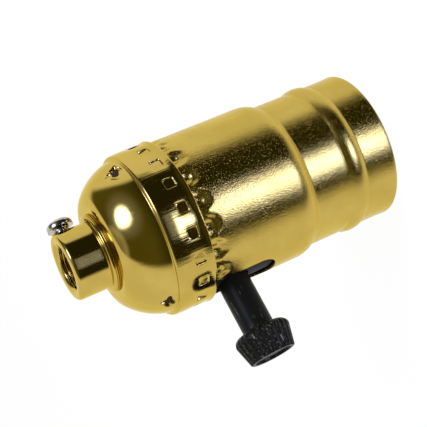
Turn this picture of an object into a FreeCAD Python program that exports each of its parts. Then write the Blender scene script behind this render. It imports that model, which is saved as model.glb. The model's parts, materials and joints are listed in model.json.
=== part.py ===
import FreeCAD
import Part

import math
import os

# A medium-base lamp holder with a turn-knob switch. All sizes are in millimetres.
# Origin: centre of the threaded bore where it opens at the hub's mouth.
# +Z runs along the bore and out of the hub, +X runs along the switch spindle and out of the knob.

# Hub: the threaded neck that a lamp pipe screws into
HUB_R = 6.95
HUB_HEIGHT = 6.1
HUB_LIP = 0.7
HUB_LIP_ROUND = 0.75
HUB_THREAD_R = 4.36
HUB_FLANGE_R = 8.2
HUB_FLANGE_HEIGHT = 1.04
HUB_FLANGE_GROOVE = 0.3
HUB_TENON_R = 7.2
HUB_RIVET_R = 7.7
HUB_RIVET_HEIGHT = 0.8

# Set screw in the hub, opposite the knob
SET_SCREW_DROP = 2.1
SET_SCREW_R = 1.75
SET_SCREW_CLEARANCE = 0.05
SET_SCREW_HEAD_R = 2.7
SET_SCREW_HEAD_HEIGHT = 1.7
SET_SCREW_HEAD_GAP = 0.9
SET_SCREW_TIP_SET_BACK = 0.3

# Cap: a drawn brass dome with a collar that snaps over the shell
CAP_WALL = 0.45
LEDGE_WIDTH = 0.9
DOME_SIDE_ROUND = 12.7
DOME_CROWN_ROUND = 3.5
DOME_START_DEG = 9.6
DOME_BREAK_DEG = 50.0
COLLAR_HEIGHT = 8.15
COLLAR_FLARE = 0.3
COLLAR_FLARE_HEIGHT = 1.5
COLLAR_ROUND = 0.3
DENT_COUNT = 20
DENT_SIZE = 2.2
DENT_DEPTH = 0.4
DENT_RAISE = 2.95
DENT_MARGIN = 0.3
LANCE_COUNT = 3
LANCE_START_DEG = 12.0
LANCE_R = 0.4
LANCE_RAISE = 1.9

# Shell: the drawn brass sleeve
SHELL_WALL = 0.45
SHELL_LENGTH = 50.5
SHELL_TOP_GAP = 1.3
RIM_FLARE = 0.12
RIM_FLARE_HEIGHT = 2.4
BEAD_HEIGHT = 8.9
BEAD_WIDTH = 4.0
BEAD_RISE = 0.57
STEP_DROP = 27.7
STEP_LENGTH = 3.5
STEP_DEPTH = 1.19
NECK_DEPTH = 0.45
NECK_LENGTH = 8.6
NECK_TAPER = 2.0
DENT_CLEARANCE = 0.1
FLUTE_DEPTH = 0.5
FLUTE_ROUND = 1.5
FLUTE_LENGTH = 9.2
SLOT_HALF_WIDTH = 4.95
SLOT_CORNER = 3.5
SLOT_DEPTH = 21.1
SLOT_CLEARANCE = 0.25

# Sleeve of insulating card inside the shell, and the dished washer of card inside the cap
LINER_WALL = 0.6
LINER_CLEARANCE = 0.1
LINER_SET_BACK = 0.8
CAP_LINER_WALL = 0.4
CAP_LINER_CLEARANCE = 0.1

# Moulded switch body and the base that closes it
BODY_CLEARANCE = 0.31
BODY_SET_BACK = 1.85
BODY_FLANGE_HEIGHT = 3.2
BODY_FLANGE_CLEARANCE = 0.2
BOSS_SET_BACK = 0.8
SEAT_GAP = 0.05
CHAMBER_REAR = 6.5
CHAMBER_FRONT = 8.5
CHAMBER_HALF_WIDTH = 8.0
CHAMBER_ROOF = 3.1
TERMINAL_FLAT_DEPTH = 3.5
TERMINAL_FLAT_HEIGHT = 12.4
TERMINAL_LEDGE = 2.0
BASE_THICKNESS = 4.0
BASE_BOSS_R = 7.2
BASE_BOSS_HEIGHT = 2.4
BASE_SCREW_R = 1.25
BASE_SCREW_REACH = 4.2
BASE_SCREW_HEAD_R = 1.8
BASE_SCREW_HEAD_HEIGHT = 1.1
BASE_SCREW_HEAD_GAP = 0.3
SCREW_CLEARANCE = 0.1

# Screw shell that takes the lamp's base, and the contacts
SCREW_SHELL_R = 13.15
SCREW_SHELL_WALL = 0.35
SCREW_SHELL_SET_BACK = 2.5
SCREW_SHELL_GAP = 0.81
SCREW_SHELL_NECK_DEPTH = 0.55
SCREW_SHELL_NECK_HEIGHT = 6.05
SCREW_SHELL_SHOULDER = 1.0
SCREW_SHELL_OPENING_R = 7.4
TONGUE_WALL = 0.4
TONGUE_HALF_WIDTH = 2.5
TONGUE_SEAT = 4.4
TONGUE_TOE = 1.6
TONGUE_REACH = 6.0
TONGUE_DROP = 2.6
CENTRE_RIVET_X = 3.8
CENTRE_RIVET_R = 1.2
RIVET_HEAD_R = 2.0
RIVET_HEAD_HEIGHT = 0.7
NEUTRAL_RIVET_R = 0.8
NEUTRAL_RIVET_HEAD_R = 1.35
NEUTRAL_RIVET_HEAD_GAP = 0.15
CONTACT_GAP = 0.3

# Terminals and their binding screws, one on each side of the body
STRAP_WALL = 0.8
STRAP_HALF_WIDTH = 3.9
STRAP_CLEARANCE = 0.15
STRAP_FOOT_REACH = 3.1
FINGER_WALL = 0.4
FINGER_START_X = 0.1
FINGER_WIDTH = 3.8
FINGER_TIP_DROP = 5.0
TERMINAL_SCREW_DROP = 6.2
TERMINAL_SCREW_R = 1.6
TERMINAL_SCREW_HEAD_R = 3.1
TERMINAL_SCREW_HEAD_HEIGHT = 1.7
TERMINAL_SCREW_REACH = 2.6
TERMINAL_SCREW_END_GAP = 0.3
SCREW_SLOT_WIDTH = 0.8
SCREW_SLOT_SHARE = 0.45

# Rotary switch
KNOB_DROP = 11.85
SPINDLE_R = 1.6
SPINDLE_REAR = 8.8
SPINDLE_FRONT = 23.8
SPINDLE_CLEARANCE = 0.05
CAM_HALF_WIDTH = 4.0
CAM_CORNER_R = 5.2
CAM_START = -5.5
CAM_LENGTH = 4.5
DRUM_R = 5.4
DRUM_LENGTH = 3.9
ROTOR_HUB_R = 2.6
ROTOR_HUB_END = 7.2
BRIDGE_WALL = 0.5
BRIDGE_HALF_DEG = 35.0
BRIDGE_WEB_HALF_WIDTH = 3.8
WASHER_R = 3.4
WASHER_THICKNESS = 0.8
DETENT_GAP = 0.3
DETENT_WALL = 0.3
DETENT_HALF_LENGTH = 7.8
DETENT_POST_WIDTH = 1.0
DETENT_MARGIN = 0.2

# Knob: a stem and a fluted head in one moulding
STEM_R = 3.3
STEM_CLEARANCE = 0.3
STEM_START = 11.5
HEAD_START = 26.95
HEAD_LENGTH = 6.05
HEAD_BACK_R = 5.85
HEAD_FRONT_R = 4.85
HEAD_SHOULDER = 1.6
HEAD_SHOULDER_R = 4.1
HEAD_EDGE = 0.35
FACE_RECESS_R = 3.9
FACE_RECESS = 0.5
FLUTE_COUNT = 24
KNOB_FLUTE_R = 0.5
KNOB_FLUTE_DEPTH = 0.28
KNOB_BORE_END_GAP = 0.4

ORIGIN = FreeCAD.Vector(0, 0, 0)
X_AXIS = FreeCAD.Vector(1, 0, 0)
Y_AXIS = FreeCAD.Vector(0, 1, 0)
Z_AXIS = FreeCAD.Vector(0, 0, 1)
PAST = 1.0
SAME = 1e-6


# Radii from the lamp's thread outwards: liner, shell, cap
LINER_INNER_R = SCREW_SHELL_R + SCREW_SHELL_WALL + SCREW_SHELL_GAP
LINER_R = LINER_INNER_R + LINER_WALL
MOUTH_R = LINER_R + LINER_CLEARANCE + SHELL_WALL
BARREL_R = MOUTH_R + STEP_DEPTH
NECK_R = BARREL_R - NECK_DEPTH
FLUTE_INNER_R = NECK_R - FLUTE_DEPTH - SHELL_WALL
DENT_INNER_R = NECK_R + DENT_CLEARANCE
COLLAR_R = DENT_INNER_R + CAP_WALL + DENT_DEPTH
DOME_R = COLLAR_R - LEDGE_WIDTH

# The switch body inside the liner, and what is fixed to it
BODY_R = LINER_INNER_R - BODY_CLEARANCE
BODY_FLANGE_R = FLUTE_INNER_R - BODY_FLANGE_CLEARANCE
BOSS_R = BARREL_R - BOSS_SET_BACK
TERMINAL_FLAT = BODY_R - TERMINAL_FLAT_DEPTH
NEUTRAL_RIVET_Y = TERMINAL_FLAT - NEUTRAL_RIVET_HEAD_GAP - NEUTRAL_RIVET_HEAD_R
SCREW_SHELL_NECK_R = SCREW_SHELL_R - SCREW_SHELL_NECK_DEPTH
BASE_SCREW_PITCH_R = SCREW_SHELL_NECK_R - BASE_SCREW_HEAD_GAP - BASE_SCREW_HEAD_R
BRIDGE_R = DRUM_R + BRIDGE_WALL
FINGER_Y = BRIDGE_R + CONTACT_GAP


def dome_rise():
    """Rise of the dome's flat top above the collar's ridge."""
    start = math.radians(DOME_START_DEG)
    stop = math.radians(DOME_BREAK_DEG)
    return DOME_SIDE_ROUND * (math.sin(stop) - math.sin(start)) + DOME_CROWN_ROUND * (1 - math.sin(stop))


# Levels, from the hub's mouth down
FLANGE_TOP = -HUB_HEIGHT
DOME_TOP = FLANGE_TOP - HUB_FLANGE_HEIGHT
RIDGE = DOME_TOP - dome_rise()
COLLAR_EDGE = RIDGE - COLLAR_HEIGHT
SHELL_TOP = RIDGE - SHELL_TOP_GAP
RIM = SHELL_TOP - SHELL_LENGTH
SLOT_BOTTOM = SHELL_TOP - SLOT_DEPTH
BODY_TOP = SHELL_TOP - BODY_SET_BACK
BODY_BOTTOM = SLOT_BOTTOM + SLOT_CLEARANCE
BODY_FLANGE_BOTTOM = BODY_TOP - BODY_FLANGE_HEIGHT
LINER_TOP = BODY_FLANGE_BOTTOM - SEAT_GAP
CHAMBER_TOP = BODY_TOP - CHAMBER_ROOF
TERMINAL_LEDGE_LEVEL = BODY_TOP - TERMINAL_LEDGE
TERMINAL_SCREW_LEVEL = BODY_TOP - TERMINAL_SCREW_DROP
BASE_BOTTOM = BODY_BOTTOM - BASE_THICKNESS
BASE_BOSS_BOTTOM = BASE_BOTTOM - BASE_BOSS_HEIGHT
SCREW_SHELL_TOP = BASE_BOTTOM
KNOB_LEVEL = SHELL_TOP - KNOB_DROP
DETENT_TOP = KNOB_LEVEL - CAM_HALF_WIDTH - DETENT_GAP
SET_SCREW_LEVEL = -SET_SCREW_DROP


def point(r, z):
    return FreeCAD.Vector(r, 0, z)


def line(a, b):
    return Part.LineSegment(a, b).toShape()


def turn_arc(centre_r, centre_z, radius, from_deg, to_deg):
    """An arc in the XZ plane about a centre, by its end angles."""
    ends = []
    for degrees in (from_deg, (from_deg + to_deg) / 2, to_deg):
        turn = math.radians(degrees)
        ends.append(point(centre_r + radius * math.cos(turn), centre_z + radius * math.sin(turn)))
    return Part.Arc(*ends).toShape()


def path(*points):
    """Straight edges through the points in turn, leaving out any of no length."""
    return [line(a, b) for a, b in zip(points, points[1:]) if a.distanceToPoint(b) > SAME]


def start_of(edge):
    return edge.valueAt(edge.FirstParameter)


def end_of(edge):
    return edge.valueAt(edge.LastParameter)


def revolved(edges, axis=Z_AXIS, centre=ORIGIN):
    """A solid of revolution from edges that close into one outline."""
    face = Part.Face(Part.Wire(Part.__sortEdges__(edges)))
    return Part.Solid(face.revolve(centre, axis, 360))


def outline(points):
    """Straight edges through the points, closed."""
    return [line(a, b) for a, b in zip(points, points[1:] + points[:1])]


def tube(outer_r, inner_r, low, high):
    outer = Part.makeCylinder(outer_r, high - low, FreeCAD.Vector(0, 0, low))
    return outer.cut(Part.makeCylinder(inner_r, high - low + 2 * PAST, FreeCAD.Vector(0, 0, low - PAST)))


def disc(radius, low, high, x=0.0, y=0.0):
    return Part.makeCylinder(radius, high - low, FreeCAD.Vector(x, y, low))


def rod_x(radius, x_from, x_to, y=0.0, z=0.0):
    return Part.makeCylinder(radius, x_to - x_from, FreeCAD.Vector(x_from, y, z), X_AXIS)


def rod_y(radius, y_from, y_to, x=0.0, z=0.0):
    return Part.makeCylinder(radius, y_to - y_from, FreeCAD.Vector(x, y_from, z), Y_AXIS)


def block(x_from, x_to, y_from, y_to, z_from, z_to):
    size = (x_to - x_from, y_to - y_from, z_to - z_from)
    return Part.makeBox(*size, FreeCAD.Vector(x_from, y_from, z_from))


def around(shape, count, start_deg=0.0, axis=Z_AXIS, centre=ORIGIN):
    """Copies of a shape spaced evenly about an axis."""
    copies = []
    for number in range(count):
        copy = shape.copy()
        copy.rotate(centre, axis, start_deg + number * 360.0 / count)
        copies.append(copy)
    return copies


def slot_prism(margin, low, high, x_from, x_to):
    """The switch opening's outline, grown by a margin, as a bar along X with a round-cornered end."""
    half = SLOT_HALF_WIDTH + margin
    corner = SLOT_CORNER + margin
    shape = block(x_from, x_to, -half, half, low + corner, high)
    shape = shape.fuse(block(x_from, x_to, -half + corner, half - corner, low, low + corner + PAST))
    for side in (-1, 1):
        shape = shape.fuse(rod_x(corner, x_from, x_to, side * (half - corner), low + corner))
    return shape.removeSplitter()


# Cap and hub


def dome_edges(inset):
    """The dome's outline from the ledge to its flat top, moved inwards by an inset."""
    start = math.radians(DOME_START_DEG)
    stop = math.radians(DOME_BREAK_DEG)
    side_r = DOME_R - DOME_SIDE_ROUND * math.cos(start)
    side_z = RIDGE - DOME_SIDE_ROUND * math.sin(start)
    crown_r = side_r + (DOME_SIDE_ROUND - DOME_CROWN_ROUND) * math.cos(stop)
    crown_z = side_z + (DOME_SIDE_ROUND - DOME_CROWN_ROUND) * math.sin(stop)
    return [
        turn_arc(side_r, side_z, DOME_SIDE_ROUND - inset, DOME_START_DEG, DOME_BREAK_DEG),
        turn_arc(crown_r, crown_z, DOME_CROWN_ROUND - inset, DOME_BREAK_DEG, 90),
    ]


def collar_edges(inset):
    """The collar's outline from its open edge up to the foot of the dome, moved inwards by an inset."""
    radius = COLLAR_R - inset
    top = RIDGE - inset
    corner = turn_arc(radius - COLLAR_ROUND, top - COLLAR_ROUND, COLLAR_ROUND, 0, 90)
    flare_top = point(radius, COLLAR_EDGE + COLLAR_FLARE_HEIGHT)
    foot = start_of(dome_edges(inset)[0])
    flank = path(point(radius + COLLAR_FLARE, COLLAR_EDGE), flare_top, start_of(corner))
    return flank + [corner] + path(end_of(corner), point(foot.x, top), foot)


def make_cap():
    outer_collar = collar_edges(0)
    inner_collar = collar_edges(CAP_WALL)
    outer_dome = dome_edges(0)
    inner_dome = dome_edges(CAP_WALL)
    outer = outer_collar + outer_dome
    inner = inner_collar + inner_dome
    hole_top = point(HUB_TENON_R, DOME_TOP)
    hole_low = point(HUB_TENON_R, DOME_TOP - CAP_WALL)
    closing = path(start_of(outer[0]), start_of(inner[0]))
    closing += path(end_of(outer[-1]), hole_top, hole_low, end_of(inner[-1]))
    cap = revolved(outer + inner + closing)
    half = DENT_SIZE / 2
    level = COLLAR_EDGE + DENT_RAISE
    floor_r = COLLAR_R - DENT_DEPTH
    pad_half = half + DENT_MARGIN
    pad = block(DENT_INNER_R, floor_r, -pad_half, pad_half, level - pad_half, level + pad_half)
    pocket = block(floor_r, COLLAR_R + PAST, -half, half, level - half, level + half)
    turn = 180.0 / DENT_COUNT
    cap = cap.fuse(around(pad, DENT_COUNT, turn))
    cap = cap.cut(Part.makeCompound(around(pocket, DENT_COUNT, turn)))
    lance = rod_x(LANCE_R, DOME_R - DOME_SIDE_ROUND, DOME_R + PAST, 0, RIDGE + LANCE_RAISE)
    return cap.cut(Part.makeCompound(around(lance, LANCE_COUNT, LANCE_START_DEG)))


def set_screw_hole():
    return rod_x(SET_SCREW_R + SET_SCREW_CLEARANCE, -HUB_FLANGE_R - PAST, 0, 0, SET_SCREW_LEVEL)


def make_hub():
    """A turned neck: a rounded mouth, a grooved flange on the dome, and a tenon riveted over inside it."""
    flange_low = FLANGE_TOP - HUB_FLANGE_HEIGHT
    bead = (HUB_FLANGE_HEIGHT - HUB_FLANGE_GROOVE) / 4
    rivet_top = DOME_TOP - CAP_WALL
    rivet_low = rivet_top - HUB_RIVET_HEIGHT
    bead_r = HUB_FLANGE_R - bead
    lip = turn_arc(HUB_R - HUB_LIP_ROUND, HUB_LIP - HUB_LIP_ROUND, HUB_LIP_ROUND, 0, 90)
    mouth_in = point((HUB_THREAD_R + HUB_R - HUB_LIP_ROUND) / 2, HUB_LIP)
    upper = turn_arc(bead_r, FLANGE_TOP - bead, bead, 90, -90)
    lower = turn_arc(bead_r, flange_low + bead, bead, 90, -90)
    bore = path(point(HUB_THREAD_R, rivet_low), point(HUB_THREAD_R, 0), mouth_in, end_of(lip))
    neck = path(start_of(lip), point(HUB_R, FLANGE_TOP), start_of(upper))
    groove = path(end_of(upper), start_of(lower))
    tenon = path(
        end_of(lower),
        point(HUB_TENON_R, DOME_TOP),
        point(HUB_TENON_R, rivet_top),
        point(HUB_RIVET_R, rivet_top),
        point(HUB_RIVET_R, rivet_low),
        point(HUB_THREAD_R, rivet_low),
    )
    hub = revolved(bore + [lip] + neck + [upper] + groove + [lower] + tenon)
    return hub.cut(set_screw_hole())


def screw(radius, length, head_r, head_height):
    """A slotted screw along +Z: its head's underside is at the origin and its shank runs down."""
    head = Part.makeCylinder(head_r, head_height)
    head = head.makeFillet(head_height * SCREW_SLOT_SHARE, [head.Edges[0]])
    shank = Part.makeCylinder(radius, length, FreeCAD.Vector(0, 0, -length))
    depth = head_height * SCREW_SLOT_SHARE
    half = SCREW_SLOT_WIDTH / 2
    slot = block(-half, half, -head_r - PAST, head_r + PAST, head_height - depth, head_height + PAST)
    return head.fuse(shank).cut(slot)


def placed(shape, position, direction):
    """The shape with its +Z axis laid along a direction, at a position."""
    moved = shape.copy()
    moved.Placement = FreeCAD.Placement(position, FreeCAD.Rotation(Z_AXIS, direction))
    return moved


def make_hub_set_screw():
    seat = HUB_R + SET_SCREW_HEAD_GAP
    length = seat - HUB_THREAD_R - SET_SCREW_TIP_SET_BACK
    body = screw(SET_SCREW_R, length, SET_SCREW_HEAD_R, SET_SCREW_HEAD_HEIGHT)
    return placed(body, FreeCAD.Vector(-seat, 0, SET_SCREW_LEVEL), -X_AXIS)


def make_cap_liner():
    """A dished washer of card that follows the dome, with a hole for the hub's rivet and the wires."""
    outer_inset = CAP_WALL + CAP_LINER_CLEARANCE
    inner_inset = outer_inset + CAP_LINER_WALL
    outer = dome_edges(outer_inset)
    inner = dome_edges(inner_inset)
    hole_r = HUB_RIVET_R + CAP_LINER_CLEARANCE
    hole_top = point(hole_r, DOME_TOP - outer_inset)
    hole_low = point(hole_r, DOME_TOP - inner_inset)
    closing = path(start_of(outer[0]), start_of(inner[0]))
    closing += path(end_of(outer[-1]), hole_top, hole_low, end_of(inner[-1]))
    return revolved(outer + inner + closing)


# Shell and its sleeve


def shell_edges(inset):
    """The sleeve's outline from the open rim up, moved inwards: flare, bead, step, barrel, neck."""
    mouth = MOUTH_R - inset
    barrel = BARREL_R - inset
    neck = NECK_R - inset
    half = BEAD_WIDTH / 2
    bead_low = RIM + BEAD_HEIGHT - half
    bead_high = bead_low + BEAD_WIDTH
    bead_crest = point(mouth + BEAD_RISE, RIM + BEAD_HEIGHT)
    bead = Part.Arc(point(mouth, bead_low), bead_crest, point(mouth, bead_high))
    step_high = SHELL_TOP - STEP_DROP
    step_low = step_high - STEP_LENGTH
    step_round = (STEP_DEPTH ** 2 + STEP_LENGTH ** 2) / (2 * STEP_DEPTH)
    sweep = math.degrees(math.asin(STEP_LENGTH / step_round))
    step = turn_arc(barrel - step_round, step_high, step_round, -sweep, 0)
    neck_low = SHELL_TOP - NECK_LENGTH
    taper_low = neck_low - NECK_TAPER
    return [
        line(point(mouth + RIM_FLARE, RIM), point(mouth, RIM + RIM_FLARE_HEIGHT)),
        line(point(mouth, RIM + RIM_FLARE_HEIGHT), point(mouth, bead_low)),
        bead.toShape(),
        line(point(mouth, bead_high), point(mouth, step_low)),
        step,
        line(point(barrel, step_high), point(barrel, taper_low)),
        line(point(barrel, taper_low), point(neck, neck_low)),
        line(point(neck, neck_low), point(neck, SHELL_TOP)),
    ]


def make_shell():
    outer = shell_edges(0)
    inner = shell_edges(SHELL_WALL)
    closing = [
        line(start_of(outer[0]), start_of(inner[0])),
        line(end_of(outer[-1]), end_of(inner[-1])),
    ]
    shell = revolved(outer + inner + closing)
    axis_r = NECK_R - FLUTE_DEPTH + FLUTE_ROUND
    low = SHELL_TOP - FLUTE_LENGTH + FLUTE_ROUND
    groove = disc(FLUTE_ROUND, low, SHELL_TOP + PAST, axis_r)
    groove = groove.fuse(Part.makeSphere(FLUTE_ROUND, FreeCAD.Vector(axis_r, 0, low)))
    backing_r = FLUTE_ROUND + SHELL_WALL
    backing = disc(backing_r, low, SHELL_TOP, axis_r)
    backing = backing.fuse(Part.makeSphere(backing_r, FreeCAD.Vector(axis_r, 0, low)))
    backing = backing.common(tube(NECK_R - SHELL_WALL / 2, MOUTH_R / 2, RIM, SHELL_TOP))
    turn = 180.0 / DENT_COUNT
    shell = shell.fuse(around(backing, DENT_COUNT, turn))
    shell = shell.cut(Part.makeCompound(around(groove, DENT_COUNT, turn)))
    return shell.cut(slot_prism(0, SLOT_BOTTOM, SHELL_TOP + PAST, 0, BARREL_R + PAST))


def make_insulating_liner():
    sleeve = tube(LINER_R, LINER_INNER_R, RIM + LINER_SET_BACK, LINER_TOP)
    return sleeve.cut(slot_prism(0, SLOT_BOTTOM, LINER_TOP + PAST, 0, BARREL_R))


# Switch body, base, lamp contacts


def base_screw_places():
    return [(-BASE_SCREW_PITCH_R, 0.0), (BASE_SCREW_PITCH_R, 0.0)]


def make_switch_body():
    """A round moulding: a flange on the liner's edge, a boss in the shell's slot, a chamber open below."""
    body = disc(BODY_R, BODY_BOTTOM, BODY_TOP)
    body = body.fuse(disc(BODY_FLANGE_R, BODY_FLANGE_BOTTOM, BODY_TOP))
    boss = slot_prism(-SLOT_CLEARANCE, BODY_BOTTOM, BODY_FLANGE_BOTTOM, 0, BARREL_R)
    boss_top = COLLAR_EDGE - BODY_FLANGE_CLEARANCE
    room = disc(BOSS_R, BODY_BOTTOM, boss_top).fuse(disc(BODY_FLANGE_R, boss_top, BODY_FLANGE_BOTTOM))
    body = body.fuse(boss.common(room))
    wide = CHAMBER_HALF_WIDTH
    chamber = block(-CHAMBER_REAR, CHAMBER_FRONT, -wide, wide, BODY_BOTTOM - PAST, CHAMBER_TOP)
    body = body.cut(chamber)
    half = STRAP_HALF_WIDTH + STRAP_CLEARANCE
    outer = BODY_FLANGE_R + PAST
    inner = FINGER_Y - STRAP_CLEARANCE
    flat_low = BODY_TOP - TERMINAL_FLAT_HEIGHT
    for side in (-1, 1):
        flat = block(-BODY_R, BODY_R, TERMINAL_FLAT, outer, flat_low, BODY_TOP + PAST)
        ledge = block(-half, half, inner, outer, TERMINAL_LEDGE_LEVEL, BODY_TOP + PAST)
        hole_end = TERMINAL_FLAT + STRAP_WALL - TERMINAL_SCREW_REACH - TERMINAL_SCREW_END_GAP
        hole = rod_y(TERMINAL_SCREW_R + SCREW_CLEARANCE, hole_end, outer, 0, 0)
        for tool in (flat, ledge):
            if side < 0:
                tool.rotate(ORIGIN, Z_AXIS, 180)
            body = body.cut(tool)
        hole.translate(FreeCAD.Vector(0, 0, TERMINAL_SCREW_LEVEL))
        if side < 0:
            hole.rotate(ORIGIN, Z_AXIS, 180)
        body = body.cut(hole)
    gap = STRAP_CLEARANCE
    finger = block(
        FINGER_START_X - gap,
        FINGER_START_X + FINGER_WIDTH + gap,
        -FINGER_Y - FINGER_WALL - gap,
        -FINGER_Y + gap,
        CHAMBER_TOP - PAST,
        TERMINAL_LEDGE_LEVEL + PAST,
    )
    channel = block(-half, half, TERMINAL_FLAT, outer, BODY_BOTTOM - PAST, flat_low + PAST)
    for place in base_screw_places():
        body = body.cut(disc(BASE_SCREW_R, BODY_BOTTOM - PAST, BODY_BOTTOM + BASE_SCREW_REACH, *place))
    bearing = rod_x(SPINDLE_R + SPINDLE_CLEARANCE, -SPINDLE_REAR - SPINDLE_CLEARANCE, BODY_R, 0, KNOB_LEVEL)
    stem = rod_x(STEM_R + STEM_CLEARANCE, STEM_START - PAST, BARREL_R + PAST, 0, KNOB_LEVEL)
    return body.cut(finger).cut(channel).cut(bearing).cut(stem)


def make_switch_base():
    """The disc that closes the chamber: a boss into the screw shell, two posts for the detent spring."""
    base = disc(BODY_R, BASE_BOTTOM, BODY_BOTTOM)
    base = base.fuse(disc(BASE_BOSS_R, BASE_BOSS_BOTTOM, BODY_BOTTOM))
    post_top = DETENT_TOP - DETENT_WALL
    post_y = DETENT_HALF_LENGTH - DETENT_POST_WIDTH
    spring_from, spring_to = detent_span()
    for side in (-1, 1):
        near, far = sorted((side * post_y, side * DETENT_HALF_LENGTH))
        base = base.fuse(block(spring_from, spring_to, near, far, BODY_BOTTOM - PAST, post_top))
    for place in base_screw_places():
        base = base.cut(disc(BASE_SCREW_R + SCREW_CLEARANCE, BASE_BOTTOM - PAST, BODY_BOTTOM + PAST, *place))
    base = base.cut(disc(CENTRE_RIVET_R, BASE_BOSS_BOTTOM - PAST, BODY_BOTTOM + PAST, CENTRE_RIVET_X))
    half = STRAP_HALF_WIDTH + STRAP_CLEARANCE
    channel = block(-half, half, TERMINAL_FLAT, BODY_R + PAST, BASE_BOTTOM - PAST, BODY_BOTTOM + PAST)
    foot_end = TERMINAL_FLAT - STRAP_FOOT_REACH - STRAP_CLEARANCE
    recess = block(-half, half, foot_end, BODY_R, BASE_BOTTOM - PAST, BASE_BOTTOM + STRAP_WALL)
    pocket_top = BASE_BOTTOM + STRAP_WALL + RIVET_HEAD_HEIGHT
    pocket = disc(NEUTRAL_RIVET_HEAD_R + SCREW_CLEARANCE, BASE_BOTTOM, pocket_top, 0, NEUTRAL_RIVET_Y)
    return base.cut(channel).cut(recess).cut(pocket)


def make_screw_shell():
    """The lamp's threaded sleeve: a shoulder up to a narrower neck, turned in as a flange under the base."""
    low = RIM + SCREW_SHELL_SET_BACK
    top = SCREW_SHELL_TOP
    shoulder_low = top - SCREW_SHELL_NECK_HEIGHT
    shoulder_high = shoulder_low + SCREW_SHELL_SHOULDER
    wall = SCREW_SHELL_WALL
    shell = revolved(
        outline(
            [
                point(SCREW_SHELL_R, low),
                point(SCREW_SHELL_R + wall, low),
                point(SCREW_SHELL_R + wall, shoulder_low),
                point(SCREW_SHELL_NECK_R + wall, shoulder_high),
                point(SCREW_SHELL_NECK_R + wall, top),
                point(SCREW_SHELL_OPENING_R, top),
                point(SCREW_SHELL_OPENING_R, top - wall),
                point(SCREW_SHELL_NECK_R, top - wall),
                point(SCREW_SHELL_NECK_R, shoulder_high),
                point(SCREW_SHELL_R, shoulder_low),
            ]
        )
    )
    for place in base_screw_places():
        shell = shell.cut(disc(BASE_SCREW_R + SCREW_CLEARANCE, low, top + PAST, *place))
    return shell.cut(disc(NEUTRAL_RIVET_R, low, top + PAST, 0, NEUTRAL_RIVET_Y))


def make_base_screws():
    """Two screws that hold the screw shell and the base to the body."""
    seat = SCREW_SHELL_TOP - SCREW_SHELL_WALL
    length = BODY_BOTTOM + BASE_SCREW_REACH - seat
    body = screw(BASE_SCREW_R, length, BASE_SCREW_HEAD_R, BASE_SCREW_HEAD_HEIGHT)
    places = [FreeCAD.Vector(x, y, seat) for x, y in base_screw_places()]
    return Part.makeCompound([placed(body, place, -Z_AXIS) for place in places])


def make_centre_contact():
    """A sprung tongue under the base's boss, bent down to meet the lamp's tip."""
    seat = BASE_BOSS_BOTTOM
    left = CENTRE_RIVET_X - TONGUE_SEAT / 2
    right = CENTRE_RIVET_X + TONGUE_SEAT / 2
    tip = left - TONGUE_REACH
    tip_z = seat - TONGUE_DROP
    toe = tip - TONGUE_TOE
    side = [(right, seat), (left, seat), (tip, tip_z), (toe, tip_z + TONGUE_WALL)]
    back = [(x, z - TONGUE_WALL) for x, z in reversed(side)]
    face = Part.Face(Part.Wire(outline([FreeCAD.Vector(x, -TONGUE_HALF_WIDTH, z) for x, z in side + back])))
    tongue = face.extrude(FreeCAD.Vector(0, 2 * TONGUE_HALF_WIDTH, 0))
    return tongue.cut(disc(CENTRE_RIVET_R, seat - PAST, seat + PAST, CENTRE_RIVET_X))


def rivet(radius, head_r, low, high, x, y):
    """A rivet with a flat head beyond each end of its grip."""
    body = disc(radius, low, high, x, y)
    body = body.fuse(disc(head_r, low - RIVET_HEAD_HEIGHT, low, x, y))
    return body.fuse(disc(head_r, high, high + RIVET_HEAD_HEIGHT, x, y))


def make_centre_rivet():
    low = BASE_BOSS_BOTTOM - TONGUE_WALL
    return rivet(CENTRE_RIVET_R, RIVET_HEAD_R, low, BODY_BOTTOM + FINGER_WALL, CENTRE_RIVET_X, 0)


def make_neutral_rivet():
    low = SCREW_SHELL_TOP - SCREW_SHELL_WALL
    return rivet(NEUTRAL_RIVET_R, NEUTRAL_RIVET_HEAD_R, low, BASE_BOTTOM + STRAP_WALL, 0, NEUTRAL_RIVET_Y)


# Terminals


def strap_plate(low):
    """A terminal plate on the body's +Y flat, with its fold over the ledge and its screw hole."""
    top = TERMINAL_LEDGE_LEVEL + STRAP_WALL
    half = STRAP_HALF_WIDTH
    plate = block(-half, half, TERMINAL_FLAT, TERMINAL_FLAT + STRAP_WALL, low, top)
    hole_end = TERMINAL_FLAT + STRAP_WALL + PAST
    hole = rod_y(TERMINAL_SCREW_R, TERMINAL_FLAT - PAST, hole_end, 0, TERMINAL_SCREW_LEVEL)
    return plate.cut(hole)


def strap_fold(inner_y):
    top = TERMINAL_LEDGE_LEVEL + STRAP_WALL
    half = STRAP_HALF_WIDTH
    return block(-half, half, inner_y, TERMINAL_FLAT + STRAP_WALL, TERMINAL_LEDGE_LEVEL, top)


def make_line_terminal():
    """Terminal plate on the -Y side, folded over the body and down through it as a contact finger."""
    low = BODY_TOP - TERMINAL_FLAT_HEIGHT + STRAP_CLEARANCE
    strap = strap_plate(low).fuse(strap_fold(FINGER_Y))
    strap.rotate(ORIGIN, Z_AXIS, 180)
    finger = block(
        FINGER_START_X,
        FINGER_START_X + FINGER_WIDTH,
        -FINGER_Y - FINGER_WALL,
        -FINGER_Y,
        KNOB_LEVEL - FINGER_TIP_DROP,
        TERMINAL_LEDGE_LEVEL + STRAP_WALL,
    )
    return strap.fuse(finger).removeSplitter()


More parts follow.
